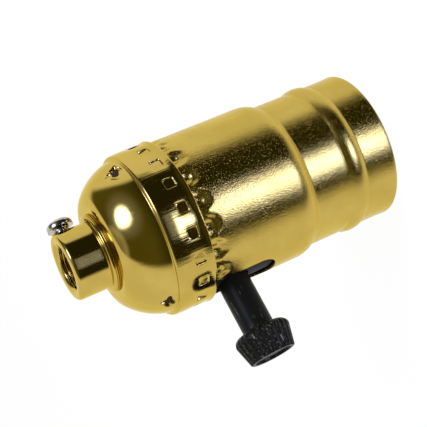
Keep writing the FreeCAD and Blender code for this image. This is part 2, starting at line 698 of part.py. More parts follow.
def make_neutral_terminal():
    """Terminal plate on the +Y side that runs down the body and turns in under the base."""
    strap = strap_plate(BASE_BOTTOM).fuse(strap_fold(FINGER_Y))
    half = STRAP_HALF_WIDTH
    foot_top = BASE_BOTTOM + STRAP_WALL
    foot_end = TERMINAL_FLAT - STRAP_FOOT_REACH
    foot = block(-half, half, foot_end, TERMINAL_FLAT + STRAP_WALL, BASE_BOTTOM, foot_top)
    strap = strap.fuse(foot).removeSplitter()
    return strap.cut(disc(NEUTRAL_RIVET_R, BASE_BOTTOM - PAST, foot_top + PAST, 0, NEUTRAL_RIVET_Y))


def make_load_contact():
    """Finger on the +Y side of the rotor, with a foot along the base to the centre rivet."""
    finger = block(
        FINGER_START_X,
        FINGER_START_X + FINGER_WIDTH,
        FINGER_Y,
        FINGER_Y + FINGER_WALL,
        BODY_BOTTOM,
        KNOB_LEVEL + FINGER_TIP_DROP,
    )
    foot = block(
        FINGER_START_X,
        CENTRE_RIVET_X + RIVET_HEAD_R,
        -RIVET_HEAD_R,
        FINGER_Y + FINGER_WALL,
        BODY_BOTTOM,
        BODY_BOTTOM + FINGER_WALL,
    )
    hole = disc(CENTRE_RIVET_R, BODY_BOTTOM - PAST, BODY_BOTTOM + PAST, CENTRE_RIVET_X)
    return finger.fuse(foot).removeSplitter().cut(hole)


def terminal_screw(side):
    seat = TERMINAL_FLAT + STRAP_WALL
    body = screw(TERMINAL_SCREW_R, TERMINAL_SCREW_REACH, TERMINAL_SCREW_HEAD_R, TERMINAL_SCREW_HEAD_HEIGHT)
    return placed(body, FreeCAD.Vector(0, side * seat, TERMINAL_SCREW_LEVEL), side * Y_AXIS)


# Rotary switch


def detent_span():
    return CAM_START + DETENT_MARGIN, CAM_START + CAM_LENGTH - DETENT_MARGIN


def make_detent_spring():
    """A flat leaf under the square cam, carried at its two ends."""
    start, stop = detent_span()
    half = DETENT_HALF_LENGTH
    return block(start, stop, -half, half, DETENT_TOP - DETENT_WALL, DETENT_TOP)


def make_switch_spindle():
    return rod_x(SPINDLE_R, -SPINDLE_REAR, SPINDLE_FRONT, 0, KNOB_LEVEL)


def make_switch_rotor():
    """A moulded rotor: a square cam with rounded corners, and a drum that carries the contact bridge."""
    half = CAM_HALF_WIDTH
    cam_end = CAM_START + CAM_LENGTH
    cam = block(CAM_START, cam_end, -half, half, KNOB_LEVEL - half, KNOB_LEVEL + half)
    cam = cam.common(rod_x(CAM_CORNER_R, CAM_START, cam_end, 0, KNOB_LEVEL))
    drum = rod_x(DRUM_R, FINGER_START_X, FINGER_START_X + DRUM_LENGTH, 0, KNOB_LEVEL)
    hub = rod_x(ROTOR_HUB_R, CAM_START, ROTOR_HUB_END, 0, KNOB_LEVEL)
    bore = rod_x(SPINDLE_R, CAM_START - PAST, ROTOR_HUB_END + PAST, 0, KNOB_LEVEL)
    return hub.fuse(cam).fuse(drum).cut(bore)


def make_contact_bridge():
    """A brass strip over the drum: a curved pad on each side, joined by a web across its front face."""
    start = FINGER_START_X
    face = start + DRUM_LENGTH
    end = face + BRIDGE_WALL
    ring = rod_x(BRIDGE_R, start, end, 0, KNOB_LEVEL).cut(rod_x(DRUM_R, start, end, 0, KNOB_LEVEL))
    reach = 2 * BRIDGE_R
    spread = reach * math.tan(math.radians(BRIDGE_HALF_DEG))
    corners = [(0, 0), (reach, -spread), (reach, spread)]
    wedge = Part.Face(Part.Wire(outline([FreeCAD.Vector(start, y, KNOB_LEVEL + z) for y, z in corners])))
    pad = wedge.extrude(FreeCAD.Vector(end - start, 0, 0)).common(ring)
    pads = around(pad, 2, 0, X_AXIS, FreeCAD.Vector(0, 0, KNOB_LEVEL))
    half = BRIDGE_WEB_HALF_WIDTH
    web = block(face, end, -BRIDGE_R, BRIDGE_R, KNOB_LEVEL - half, KNOB_LEVEL + half)
    web = web.common(rod_x(BRIDGE_R, face, end, 0, KNOB_LEVEL))
    bridge = web.fuse(pads).removeSplitter()
    return bridge.cut(rod_x(ROTOR_HUB_R, start, end + PAST, 0, KNOB_LEVEL))


def make_spindle_washer():
    washer = rod_x(WASHER_R, ROTOR_HUB_END, ROTOR_HUB_END + WASHER_THICKNESS, 0, KNOB_LEVEL)
    return washer.cut(rod_x(SPINDLE_R, ROTOR_HUB_END - PAST, CHAMBER_FRONT, 0, KNOB_LEVEL))


def make_knob():
    """Stem and head turned about the spindle's axis, then the flutes and the blind bore."""
    front = HEAD_START + HEAD_LENGTH
    back = HEAD_START + HEAD_SHOULDER
    shoulder = Part.Arc(
        point(HEAD_START, HEAD_SHOULDER_R),
        point(
            HEAD_START + HEAD_SHOULDER * (1 - math.sin(math.radians(45))),
            HEAD_SHOULDER_R + (HEAD_BACK_R - HEAD_SHOULDER_R) * math.sin(math.radians(45)),
        ),
        point(back, HEAD_BACK_R),
    ).toShape()
    lip_r = HEAD_FRONT_R - HEAD_EDGE
    edges = [
        line(point(STEM_START, 0), point(STEM_START, STEM_R)),
        line(point(STEM_START, STEM_R), point(HEAD_START, STEM_R)),
        line(point(HEAD_START, STEM_R), point(HEAD_START, HEAD_SHOULDER_R)),
        shoulder,
        line(point(back, HEAD_BACK_R), point(front - HEAD_EDGE, HEAD_FRONT_R)),
        line(point(front - HEAD_EDGE, HEAD_FRONT_R), point(front, lip_r)),
        line(point(front, lip_r), point(front, FACE_RECESS_R)),
        line(point(front, FACE_RECESS_R), point(front - FACE_RECESS, FACE_RECESS_R - FACE_RECESS)),
        line(point(front - FACE_RECESS, FACE_RECESS_R - FACE_RECESS), point(front - FACE_RECESS, 0)),
        line(point(front - FACE_RECESS, 0), point(STEM_START, 0)),
    ]
    knob = revolved(edges, X_AXIS)
    run = front - back
    lean = math.atan2(HEAD_BACK_R - HEAD_FRONT_R, run - HEAD_EDGE)
    away = KNOB_FLUTE_R - KNOB_FLUTE_DEPTH
    direction = FreeCAD.Vector(math.cos(lean), 0, -math.sin(lean))
    start = point(back, HEAD_BACK_R + away) - direction * HEAD_SHOULDER
    flute = Part.makeCylinder(KNOB_FLUTE_R, run + 2 * HEAD_SHOULDER, start, direction)
    knob = knob.cut(Part.makeCompound(around(flute, FLUTE_COUNT, 0, X_AXIS)))
    knob = knob.cut(rod_x(SPINDLE_R, STEM_START - PAST, SPINDLE_FRONT + KNOB_BORE_END_GAP))
    knob.translate(FreeCAD.Vector(0, 0, KNOB_LEVEL))
    return knob


def pieces():
    """Every piece by the name of its node."""
    return {
        "cap": make_cap(),
        "hub": make_hub(),
        "hub_set_screw": make_hub_set_screw(),
        "cap_liner": make_cap_liner(),
        "shell": make_shell(),
        "insulating_liner": make_insulating_liner(),
        "switch_body": make_switch_body(),
        "switch_base": make_switch_base(),
        "screw_shell": make_screw_shell(),
        "base_screws": make_base_screws(),
        "centre_contact": make_centre_contact(),
        "centre_rivet": make_centre_rivet(),
        "neutral_rivet": make_neutral_rivet(),
        "line_terminal": make_line_terminal(),
        "neutral_terminal": make_neutral_terminal(),
        "load_contact": make_load_contact(),
        "line_terminal_screw": terminal_screw(-1),
        "neutral_terminal_screw": terminal_screw(1),
        "detent_spring": make_detent_spring(),
        "switch_spindle": make_switch_spindle(),
        "switch_rotor": make_switch_rotor(),
        "contact_bridge": make_contact_bridge(),
        "spindle_washer": make_spindle_washer(),
        "knob": make_knob(),
    }


def main():
    os.makedirs("parts", exist_ok=True)
    for node, shape in pieces().items():
        shape.exportStep(os.path.join("parts", node + ".step"))
        print(node, len(shape.Solids), shape.isValid(), round(shape.Volume, 2), len(shape.Faces))


main()
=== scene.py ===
import json
import math

import bmesh
import bpy
import numpy as np
from mathutils import Matrix, Vector


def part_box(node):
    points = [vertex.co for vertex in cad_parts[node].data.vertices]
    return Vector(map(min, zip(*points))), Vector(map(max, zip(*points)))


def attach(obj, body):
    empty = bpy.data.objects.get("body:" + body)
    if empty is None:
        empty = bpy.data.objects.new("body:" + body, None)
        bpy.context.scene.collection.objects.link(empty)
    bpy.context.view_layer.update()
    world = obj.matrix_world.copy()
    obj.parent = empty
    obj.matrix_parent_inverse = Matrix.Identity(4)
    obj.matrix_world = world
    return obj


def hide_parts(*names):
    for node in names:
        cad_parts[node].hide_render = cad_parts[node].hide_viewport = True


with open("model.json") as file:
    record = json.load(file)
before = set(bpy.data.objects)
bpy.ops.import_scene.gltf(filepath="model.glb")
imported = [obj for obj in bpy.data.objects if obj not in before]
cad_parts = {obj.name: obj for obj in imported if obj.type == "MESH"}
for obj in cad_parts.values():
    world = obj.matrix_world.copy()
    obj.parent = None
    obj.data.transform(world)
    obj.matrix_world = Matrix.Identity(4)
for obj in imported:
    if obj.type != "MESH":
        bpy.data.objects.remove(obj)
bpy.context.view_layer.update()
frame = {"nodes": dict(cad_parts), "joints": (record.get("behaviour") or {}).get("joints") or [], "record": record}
print("frame loaded:", len(frame["nodes"]), "nodes")

scene = bpy.context.scene
scene.view_settings.view_transform = "Standard"
mm = 0.001  # sizes below are in millimetres


def cornerOf(node, high):  # lowest or highest corner of a CAD node, in millimetres
    return np.array(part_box(node)[1 if high else 0]) / mm


rim = cornerOf("shell", False)[2]
shellTop = cornerOf("shell", True)[2]
collarEdge = cornerOf("cap", False)[2]
hubLip = cornerOf("hub", True)[2]
hubFoot = cornerOf("hub", False)[2]
knobTurn = [j for j in frame["joints"] if j["name"] == "knob_turn"][0]
knobLevel = knobTurn["pos_m"][2] / mm
stemEnd = 26.95  # where the knob's stem meets its head, along X
linesEnd = collarEdge + 8.0  # the collar's drawn lines stop here


# ---- outlines: runs of (radius, height) points


def lineRun(start, stop, count):  # points spaced evenly from start to stop
    along = np.linspace(0, 1, count)[:, None]
    return np.array(start) * (1 - along) + np.array(stop) * along


def arcRun(centre, radius, fromDeg, toDeg, count):  # centre plus radius times (cos, sin) of even angles
    turn = np.radians(np.linspace(fromDeg, toDeg, count))
    return np.array(centre) + radius * np.stack([np.cos(turn), np.sin(turn)], 1)


def joined(*runs):  # the runs end to end, without the doubled point where two meet
    points = np.concatenate(runs)
    step = np.linalg.norm(np.diff(points, axis=0), axis=1)
    return points[np.concatenate([[True], step > 1e-6])]


def smooth(value, low, high):  # 0 below low, 1 above high, an S-curve between
    t = np.clip((value - low) / (high - low), 0, 1)
    return t * t * (3 - 2 * t)


def evenAngles(pitches, perPitch, startDeg=0.0):  # angles spaced evenly over a turn, in radians
    return np.radians(startDeg) + np.linspace(0, 2 * math.pi, pitches * perPitch, endpoint=False)


# ---- meshes


def meshFrom(name, points, faces, creaseDeg=32):  # points in millimetres; doubles merged, faces turned outwards
    mesh = bpy.data.meshes.new(name)
    mesh.from_pydata((points.reshape(-1, 3) * mm).tolist(), [], faces.tolist())
    work = bmesh.new()
    work.from_mesh(mesh)
    bmesh.ops.remove_doubles(work, verts=work.verts, dist=2e-7)
    bmesh.ops.dissolve_degenerate(work, edges=work.edges, dist=1e-8)
    centre = sum((v.co for v in work.verts), Vector()) / len(work.verts)
    facing = sum(f.normal.dot(f.calc_center_median() - centre) * f.calc_area() for f in work.faces)
    if facing < 0:
        bmesh.ops.reverse_faces(work, faces=work.faces)
    work.to_mesh(mesh)
    work.free()
    mesh.shade_smooth()
    mesh.set_sharp_from_angle(angle=math.radians(creaseDeg))
    piece = bpy.data.objects.new(name, mesh)
    scene.collection.objects.link(piece)
    return piece


def gridFaces(index, closeRows, closeCols):  # quads between neighbours of a grid of point numbers
    if closeRows:
        index = np.concatenate([index, index[:1]], 0)
    if closeCols:
        index = np.concatenate([index, index[:, :1]], 1)
    quads = [index[:-1, :-1], index[1:, :-1], index[1:, 1:], index[:-1, 1:]]
    return np.stack(quads, -1).reshape(-1, 4)


def gridPiece(name, points, closeRows=False, closeCols=True, creaseDeg=32):  # a piece from one grid of points
    index = np.arange(points.shape[0] * points.shape[1]).reshape(points.shape[:2])
    return meshFrom(name, points, gridFaces(index, closeRows, closeCols), creaseDeg)


def turned(radius, height, angles):  # (radius, height) of each row and column, set round the Z axis
    return np.stack([radius * np.cos(angles), radius * np.sin(angles), height + 0 * angles], -1)


def capped(profile):  # the profile with its two ends run in to the axis
    first = np.array([[0.0, profile[0, 1]]])
    last = np.array([[0.0, profile[-1, 1]]])
    return np.concatenate([first, profile, last])


# ---- shader trees


class Wire:  # one socket of a shader tree; sums on it add Math nodes
    def __init__(self, tree, socket=None):
        self.tree = tree
        self.socket = socket

    def node(self, kind, settings, sockets, out=0):  # settings by name, then values or wires for its sockets
        made = self.tree.nodes.new(kind)
        for key, value in settings.items():
            setattr(made, key, value)
        for key, value in sockets.items():
            if isinstance(value, Wire):
                self.tree.links.new(value.socket, made.inputs[key])
            else:
                made.inputs[key].default_value = value
        return Wire(self.tree, made.outputs[out])

    def math(self, operation, *values):  # one Math node over the values in order
        return self.node("ShaderNodeMath", {"operation": operation}, dict(enumerate(values)))

    def __add__(self, other): return self.math("ADD", self, other)
    def __radd__(self, other): return self.math("ADD", other, self)
    def __sub__(self, other): return self.math("SUBTRACT", self, other)
    def __rsub__(self, other): return self.math("SUBTRACT", other, self)
    def __mul__(self, other): return self.math("MULTIPLY", self, other)
    def __rmul__(self, other): return self.math("MULTIPLY", other, self)
    def __truediv__(self, other): return self.math("DIVIDE", self, other)

    def between(self, low, high):  # 0 below low, 1 above high, an S-curve between
        settings = {"interpolation_type": "SMOOTHSTEP"}
        return self.node("ShaderNodeMapRange", settings, {0: self, 1: low, 2: high, 3: 0.0, 4: 1.0})

    def fill(self):  # this value in all three parts of a vector
        return self.node("ShaderNodeCombineXYZ", {}, {0: self, 1: self, 2: self})

    def blend(self, colourA, colourB):  # colour A where this is 0, colour B where it is 1
        sockets = {"Factor": self, 6: colourA, 7: colourB}
        return self.node("ShaderNodeMix", {"data_type": "RGBA"}, sockets, 2)


def place(wire, scale=(1, 1, 1)):  # object coordinates, stretched
    at = wire.node("ShaderNodeTexCoord", {}, {}, 3)
    return wire.node("ShaderNodeMapping", {}, {"Vector": at, "Scale": scale})


def grain(wire, scale, stretch=(1, 1, 1), detail=2.0, rough=0.5):  # soft noise, 0 to 1
    sockets = {"Vector": place(wire, stretch), "Scale": scale, "Detail": detail, "Roughness": rough}
    return wire.node("ShaderNodeTexNoise", {}, sockets, 0)


def heightOf(wire):  # height in the object's own coordinates, in metres
    at = wire.node("ShaderNodeTexCoord", {}, {}, 3)
    return wire.node("ShaderNodeSeparateXYZ", {}, {"Vector": at}, 2)


def sideOf(wire):  # distance along X in the object's own coordinates, in metres
    at = wire.node("ShaderNodeTexCoord", {}, {}, 3)
    return wire.node("ShaderNodeSeparateXYZ", {}, {"Vector": at}, 0)


def rgb(*values):  # a colour with its alpha
    return (*values, 1.0)


def finishOf(name, build, **constants):  # a Principled material: build(wire) gives its varying sockets
    made = bpy.data.materials.new(name)
    made.use_nodes = True
    tree = made.node_tree
    shader = tree.nodes["Principled BSDF"]
    for key, value in constants.items():
        shader.inputs[key.replace("_", " ")].default_value = value
    for key, value in build(Wire(tree)).items():
        tree.links.new(value.socket, shader.inputs[key])
    return made


def bumped(wire, height, depth):  # height 0 to 1 over a depth in millimetres
    sockets = {"Height": height, "Distance": depth * mm}
    return wire.node("ShaderNodeBump", {}, sockets, 0)


brass = {
    "base": rgb(0.590, 0.427, 0.102),
    "deep": rgb(0.530, 0.376, 0.080),
    "pale": rgb(0.62, 0.470, 0.130),
    "bare": rgb(0.60, 0.410, 0.130),
    "edge": rgb(0.98, 0.90, 0.55),
}


def polishedBrass(wire):  # bright plate: faint waviness, a few fine scratches, a little haze in patches
    cloud = grain(wire, 160, detail=3)
    scratch = grain(wire, 900, (1, 1, 0.06), detail=3).between(0.66, 0.74)
    fine = grain(wire, 3800, detail=2)
    onCollar = 1 - heightOf(wire).between((linesEnd - 0.3) * mm, linesEnd * mm)
    drawn = grain(wire, 3100, (1, 1, 0.03), detail=2)
    return {
        "Base Color": cloud.between(0.35, 0.7).blend(brass["deep"], brass["base"]),
        "Roughness": 0.075 + cloud * 0.05 + scratch * 0.08,
        "Normal": bumped(wire, fine * 0.10 + scratch * 0.2 + onCollar * drawn, 0.026),
    }


def satinBrass(wire):  # drawn sleeve: sandy grain and single pits over faint lines along the draw
    sand = grain(wire, 4300, detail=2, rough=0.6)
    pits = grain(wire, 5000, detail=1).between(0.67, 0.73)
    drawn = grain(wire, 1500, (1, 1, 0.05), detail=2)
    cloud = grain(wire, 120, detail=2)
    return {
        "Base Color": cloud.between(0.3, 0.7).blend(brass["deep"], brass["base"]),
        "Roughness": 0.085 + sand * 0.06 + cloud * 0.02,
        "Normal": bumped(wire, sand + pits * 0.5 + drawn * 0.2, 0.048),
    }


def bareBrass(wire):  # unplated stampings inside, slightly dulled
    cloud = grain(wire, 420, detail=3)
    fine = grain(wire, 2600, detail=2)
    return {
        "Base Color": cloud.between(0.35, 0.7).blend(brass["bare"], brass["pale"]),
        "Roughness": 0.22 + cloud * 0.16,
        "Normal": bumped(wire, fine, 0.004),
    }


def bronzeStrip(wire):  # sprung contact metal, redder than brass
    cloud = grain(wire, 500, detail=3)
    return {
        "Base Color": cloud.blend(rgb(0.50, 0.25, 0.11), rgb(0.62, 0.34, 0.17)),
        "Roughness": 0.24 + cloud * 0.14,
        "Normal": bumped(wire, grain(wire, 2400), 0.003),
    }


def nickelPlate(wire):  # warm grey plate with a soft cloud; the warm grey is the plate's own, its darker yellow cast is a painted reflection of the brass round it
    cloud = grain(wire, 700, detail=3)
    return {
        # painted reflection: the base colour is made darker and yellower to stand in for the brass that the screw
        # head reflects
        "Base Color": cloud.between(0.3, 0.75).blend(rgb(0.42, 0.39, 0.29), rgb(0.60, 0.57, 0.47)),
        "Roughness": 0.10 + cloud * 0.10,
        "Normal": bumped(wire, grain(wire, 2800), 0.003),
    }


def steelPlain(wire):  # neutral grey, duller
    cloud = grain(wire, 600, detail=3)
    return {
        "Base Color": cloud.blend(rgb(0.42, 0.42, 0.41), rgb(0.56, 0.56, 0.55)),
        "Roughness": 0.28 + cloud * 0.15,
        "Normal": bumped(wire, grain(wire, 2600), 0.004),
    }


def blackMoulding(wire):  # phenolic: nearly smooth, a few pale specks
    fine = grain(wire, 1800, detail=3)
    speck = grain(wire, 1300, detail=1).between(0.70, 0.78)
    return {
        "Base Color": speck.blend(rgb(0.006, 0.006, 0.0065), rgb(0.030, 0.029, 0.028)),
        "Roughness": 0.42 + fine * 0.18,
        "Normal": bumped(wire, fine, 0.010),
    }


def knobBlack(wire):  # black plastic rubbed grey: streaks along the stem, specks on the head
    fine = grain(wire, 1500, detail=3)
    streak = grain(wire, 1100, (0.12, 1, 1), detail=3, rough=0.7).between(0.60, 0.68)
    patch = grain(wire, 150, detail=1).between(0.50, 0.60)
    speck = grain(wire, 3300, (0.6, 1, 1), detail=2).between(0.60, 0.70) * 0.45
    onHead = sideOf(wire).between((stemEnd - 1.0) * mm, stemEnd * mm)
    worn = wire.math("MAXIMUM", streak * patch, speck * onHead)
    return {
        "Base Color": worn.blend(rgb(0.005, 0.005, 0.005), rgb(0.12, 0.12, 0.12)),
        "Roughness": 0.28 + fine * 0.12 + worn * 0.15,
        "Normal": bumped(wire, fine * 0.5 + worn * 0.6, 0.03),
    }


def cardBoard(wire):  # fibre card, flecked; its near-black colour is painted shade for the hollows where it shows, behind the lances and in the gaps
    fibre = grain(wire, 1800, (1, 1, 0.35), detail=4, rough=0.65)
    fleck = grain(wire, 900, detail=2).between(0.62, 0.70)
    return {
        # painted shade: both colours are far darker than card, standing in for the shade in the hollows round the
        # liner; the flecks are the card's own
        "Base Color": fleck.blend(rgb(0.024, 0.017, 0.012), rgb(0.014, 0.010, 0.007)),
        "Roughness": 0.78 + fibre * 0.15,
        "Normal": bumped(wire, fibre, 0.05),
    }


finishes = {
    "polished_brass": finishOf("polishedBrass", polishedBrass, Metallic=1.0, Specular_Tint=brass["edge"]),
    "satin_brass": finishOf("satinBrass", satinBrass, Metallic=1.0, Specular_Tint=brass["edge"]),
    "bare_brass": finishOf("bareBrass", bareBrass, Metallic=1.0),
    "bronze": finishOf("bronzeStrip", bronzeStrip, Metallic=1.0),
    "nickel_plate": finishOf("nickelPlate", nickelPlate, Metallic=1.0),
    "steel": finishOf("steelPlain", steelPlain, Metallic=1.0),
    "black_moulding": finishOf(
        "blackMoulding", blackMoulding, IOR=1.52, Specular_IOR_Level=0.05, Specular_Tint=rgb(1, 0.96, 0.70)),
    "knob_black": finishOf(
        "knobBlack", knobBlack, IOR=1.50, Specular_IOR_Level=0.09, Specular_Tint=rgb(1, 0.96, 0.60)),
    "card": finishOf("cardBoard", cardBoard, IOR=1.45, Specular_IOR_Level=0.1),
}
slotOf = {part["node"]: part["material_slot"] for part in frame["record"]["subparts"]}
for node, piece in frame["nodes"].items():
    piece.data.materials.clear()
    piece.data.materials.append(finishes[slotOf[node]])
print("finishes made:", len(finishes))


def settle(piece, node, body="holder"):  # gives a new piece its node's finish, body and slot, and hides the node
    piece.data.materials.append(finishes[slotOf[node]])
    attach(piece, body)
    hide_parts(node)
    return piece


# ---- cap: a dome with a dented collar

capSize = {
    "wall": 0.45, "domeR": 16.25, "sideRound": 12.7, "crownRound": 3.5, "startDeg": 9.6, "breakDeg": 50.0,
    "collarR": 17.15, "collarHeight": 8.15, "flare": 0.3, "flareHeight": 1.5, "edgeRound": 0.26, "foldRound": 0.5,
    "footRound": 0.3, "drawIn": 0.12, "drawLength": 2.4, "tenonR": 7.2,
    "dents": 20, "dentSize": 2.2, "dentDepth": 0.40, "dentRaise": 2.95, "dentEdge": 0.11, "dentTilt": 0.13,
    "dentPull": 0.07, "dentPullReach": 0.8, "dentCorner": 0.35, "dentFade": (0.2, 0.9),
    "lances": 3, "lanceStartDeg": 12.6, "lanceRaise": 1.8, "lanceR": 1.6, "lanceDepth": 1.1, "lanceSpacing": 0.14,
    "lanceHole": 0.78, "lanceWide": 1.16, "lanceTall": 0.80, "lanceFade": (0.3, 0.7), "lanceLip": 0.07,
}


def collarWallR(up, size):  # radius of the collar's outside at a height above its open edge
    flare = np.clip(1 - up / size["flareHeight"], 0, 1) ** 2 * size["flare"]
    above = up - (size["collarHeight"] - size["foldRound"] - size["drawLength"])
    return size["collarR"] + flare - size["drawIn"] * (np.clip(above, 0, None) / size["drawLength"]) ** 2


def capProfile(size, ridge):  # rounded edge, flare, dents' belt, fold, hollow foot, dome in two arcs, flat top
    start, stop = math.radians(size["startDeg"]), math.radians(size["breakDeg"])
    sideR = size["domeR"] - size["sideRound"] * math.cos(start)
    sideZ = ridge - size["sideRound"] * math.sin(start)
    crownR = sideR + (size["sideRound"] - size["crownRound"]) * math.cos(stop)
    crownZ = sideZ + (size["sideRound"] - size["crownRound"]) * math.sin(stop)
    fold, foot, edge, lip = size["foldRound"], size["footRound"], size["dentEdge"], size["edgeRound"]
    low = size["dentRaise"] - size["dentSize"] / 2
    high = low + size["dentSize"]
    steps = edge * np.array([-1.2, -0.8, -0.4, 0, 0.4, 0.8, 1.2])
    up = np.unique(np.round(np.concatenate([
        np.linspace(lip, low - 0.2, 7), low + steps, np.linspace(low + 0.3, high - 0.3, 6), high + steps,
        np.linspace(high + 0.25, high + 1.4, 6), np.linspace(high + 1.8, size["collarHeight"] - fold, 6),
    ]), 4))
    wall = np.stack([collarWallR(up, size), collarEdge + up], 1)
    edgeR = wall[0, 0] - lip
    foldR = wall[-1, 0] - fold
    lanceTop = size["lanceRaise"] + size["lanceR"] + 0.5
    footDeg = math.degrees(math.asin(math.sin(start) + foot / size["sideRound"]))
    fineDeg = math.degrees(math.asin(math.sin(start) + lanceTop / size["sideRound"]))
    fine = int((lanceTop - foot) / size["lanceSpacing"])
    dome = arcRun((sideR, sideZ), size["sideRound"], footDeg, fineDeg, fine)
    side = arcRun((sideR, sideZ), size["sideRound"], fineDeg, size["breakDeg"], 16)
    crown = arcRun((crownR, crownZ), size["crownRound"], size["breakDeg"], 90, 11)
    return joined(
        arcRun((edgeR, collarEdge + lip), lip, -90, 0, 5)[:-1],
        wall[:-1],
        arcRun((foldR, ridge - fold), fold, 0, 90, 8),
        arcRun((dome[0, 0] + foot, ridge + foot), foot, 270, 180, 5)[:-1],
        dome, side, crown,
        lineRun(crown[-1], (size["tenonR"], crown[-1, 1]), 4),
    )


def outward(profile):  # unit normals of an outline, to the right of its run
    step = np.gradient(profile, axis=0)
    step /= np.linalg.norm(step, axis=1)[:, None]
    return np.stack([step[:, 1], -step[:, 0]], 1)


def capAngles(size):  # columns close together at the edges of the dents and across the lances
    pitch = 2 * math.pi / size["dents"]
    half, edge = size["dentSize"] / 2 / size["collarR"], size["dentEdge"] / size["collarR"]
    marks = [0, half - edge * 1.2, half - edge * 0.5, half + edge * 0.5, half + edge * 1.2, half * 1.7, pitch / 2]
    counts = [4, 2, 3, 2, 2, 2]
    side = np.concatenate([np.linspace(a, b, n, endpoint=False) for a, b, n in zip(marks, marks[1:], counts)])
    one = np.concatenate([-side[:0:-1], side])
    angles = np.concatenate([one + (n + 0.5) * pitch for n in range(size["dents"])])
    span = (size["lanceR"] + 0.45) / size["domeR"]
    count = int(2 * span * size["domeR"] / size["lanceSpacing"])
    extra = np.concatenate([centre + np.linspace(-span, span, count) for centre in lanceAngles(size)])
    angles = np.sort(np.concatenate([angles, extra]) % (2 * math.pi))
    gap = np.diff(np.concatenate([angles, angles[:1] + 2 * math.pi]))
    return angles[gap > 0.0012]


def lanceAngles(size):  # the lances' middles: a start angle, then equal shares of a turn
    return np.radians(size["lanceStartDeg"]) + np.arange(size["lances"]) * 2 * math.pi / size["lances"]


def dentSink(angles, up, size):  # depth of the square dents: steep edges, a tilted floor, a soft pull round each
    pitch = 2 * math.pi / size["dents"]
    across = (np.abs((angles / pitch) % 1 - 0.5) * pitch * size["collarR"])[None, :]
    along = (up - size["dentRaise"])[:, None]
    half = size["dentSize"] / 2
    out = np.maximum(across, np.abs(along)) - half
    bend = size["dentCorner"]
    corner = np.hypot(np.clip(across - half + bend, 0, None), np.clip(np.abs(along) - half + bend, 0, None)) - bend
    out = np.maximum(out, corner)
    inside = 1 - smooth(out, -size["dentEdge"], size["dentEdge"])
    floorTilt = 1 + size["dentTilt"] / size["dentDepth"] * np.clip(along / half, -1, 1)
    pull = size["dentPull"] * np.exp(-(np.clip(out, 0, None) / size["dentPullReach"]) ** 2)
    return inside * size["dentDepth"] * floorTilt + pull * (1 - inside)


def lanceSink(angles, up, size):  # depth of the torn star-shaped holes: four points with ragged sides
    sink = 0
    for n, centre in enumerate(lanceAngles(size)):
        across = (((angles - centre + math.pi) % (2 * math.pi)) - math.pi)[None, :] * size["domeR"]
        along = (up - size["lanceRaise"])[:, None]
        far = np.hypot(across / size["lanceWide"], along / size["lanceTall"])
        turn = np.arctan2(along, across)
        reach = size["lanceR"] * (1 + 0.22 * np.cos(4 * turn + 0.5 + n) + 0.12 * np.cos(7 * turn + 2.1 * n + 1))
        shard = 0.62 + 0.38 * np.cos(5 * turn + 1.7 * n + 0.6 * far)
        pit = (1 - smooth(far / reach, 0.55, 1.0)) * (1 - 0.45 * shard * smooth(far / reach, 0.1, 0.5))
        lip = size["lanceLip"] * np.exp(-((far / reach - 1.12) / 0.16) ** 2)
        sink = sink + pit * size["lanceDepth"] - lip
    return sink


def makeCap():  # outline moved in by the sinks, walled on the inside, with the lances cut through and rimmed
    size = capSize
    ridge = collarEdge + size["collarHeight"]
    profile = capProfile(size, ridge)
    normal = outward(profile)
    angles = capAngles(size)
    up = profile[:, 1] - collarEdge
    onCollar = (up < size["collarHeight"] - size["foldRound"])[:, None]
    overRidge = profile[:, 1] - ridge
    onDome = (profile[:, 1] > ridge + size["footRound"] * 0.9)[:, None]
    sink = dentSink(angles, up, size) * onCollar * smooth(up, *size["dentFade"])[:, None]
    torn = lanceSink(angles, overRidge, size) * onDome
    sink = sink + torn * smooth(overRidge, *size["lanceFade"])[:, None]
    radius = profile[:, :1] - normal[:, :1] * sink
    height = profile[:, 1:] - normal[:, 1:] * sink
    inner = np.nonzero(up > size["wall"] * 1.3)[0]
    lanceRow = np.abs(overRidge - size["lanceRaise"]) < size["lanceHole"]
    kept = (inner % 3 == 0) | lanceRow[inner] | (inner == len(profile) - 1)
    rows = inner[kept]
    inR = profile[rows, :1] - normal[rows, :1] * (size["wall"] + sink[rows])
    inZ = profile[rows, 1:] - normal[rows, 1:] * (size["wall"] + sink[rows])
    lowR = np.full((1, len(angles)), inR[0, 0])
    lowZ = np.full((1, len(angles)), collarEdge)
    allR, allZ = np.concatenate([radius, inR[::-1], lowR]), np.concatenate([height, inZ[::-1], lowZ])
    points = turned(allR, allZ, angles[None, :])
    index = np.arange(points.shape[0] * points.shape[1]).reshape(points.shape[:2])
    outRows = np.nonzero(lanceRow)[0]
    inRows = len(profile) + len(rows) - 1 - np.searchsorted(rows, outRows)
    holes = np.zeros((points.shape[0], points.shape[1]), bool)
    rims = []
    for centre in lanceAngles(size):
        columns = np.nonzero(np.abs(angles - centre) * size["domeR"] < size["lanceHole"])[0]
        holes[outRows[0]:outRows[-1], columns[0]:columns[-1]] = True
        holes[inRows[-1]:inRows[0], columns[0]:columns[-1]] = True
        outer = index[np.ix_(outRows, columns)]
        within = index[np.ix_(inRows, columns)]
        for a, b in ((outer[0], within[0]), (outer[::-1, 0], within[::-1, 0]),
                     (outer[-1, ::-1], within[-1, ::-1]), (outer[:, -1], within[:, -1])):
            rims.append(np.stack([a[:-1], b[:-1], b[1:], a[1:]], -1))
    faces = gridFaces(index, True, True)[~holes.reshape(-1)]
    return meshFrom("capDome", points, np.concatenate([faces] + rims), creaseDeg=60)


cap = settle(makeCap(), "cap")
print("cap made:", len(cap.data.polygons), "faces")


# ---- hub: turned neck with a tapped bore

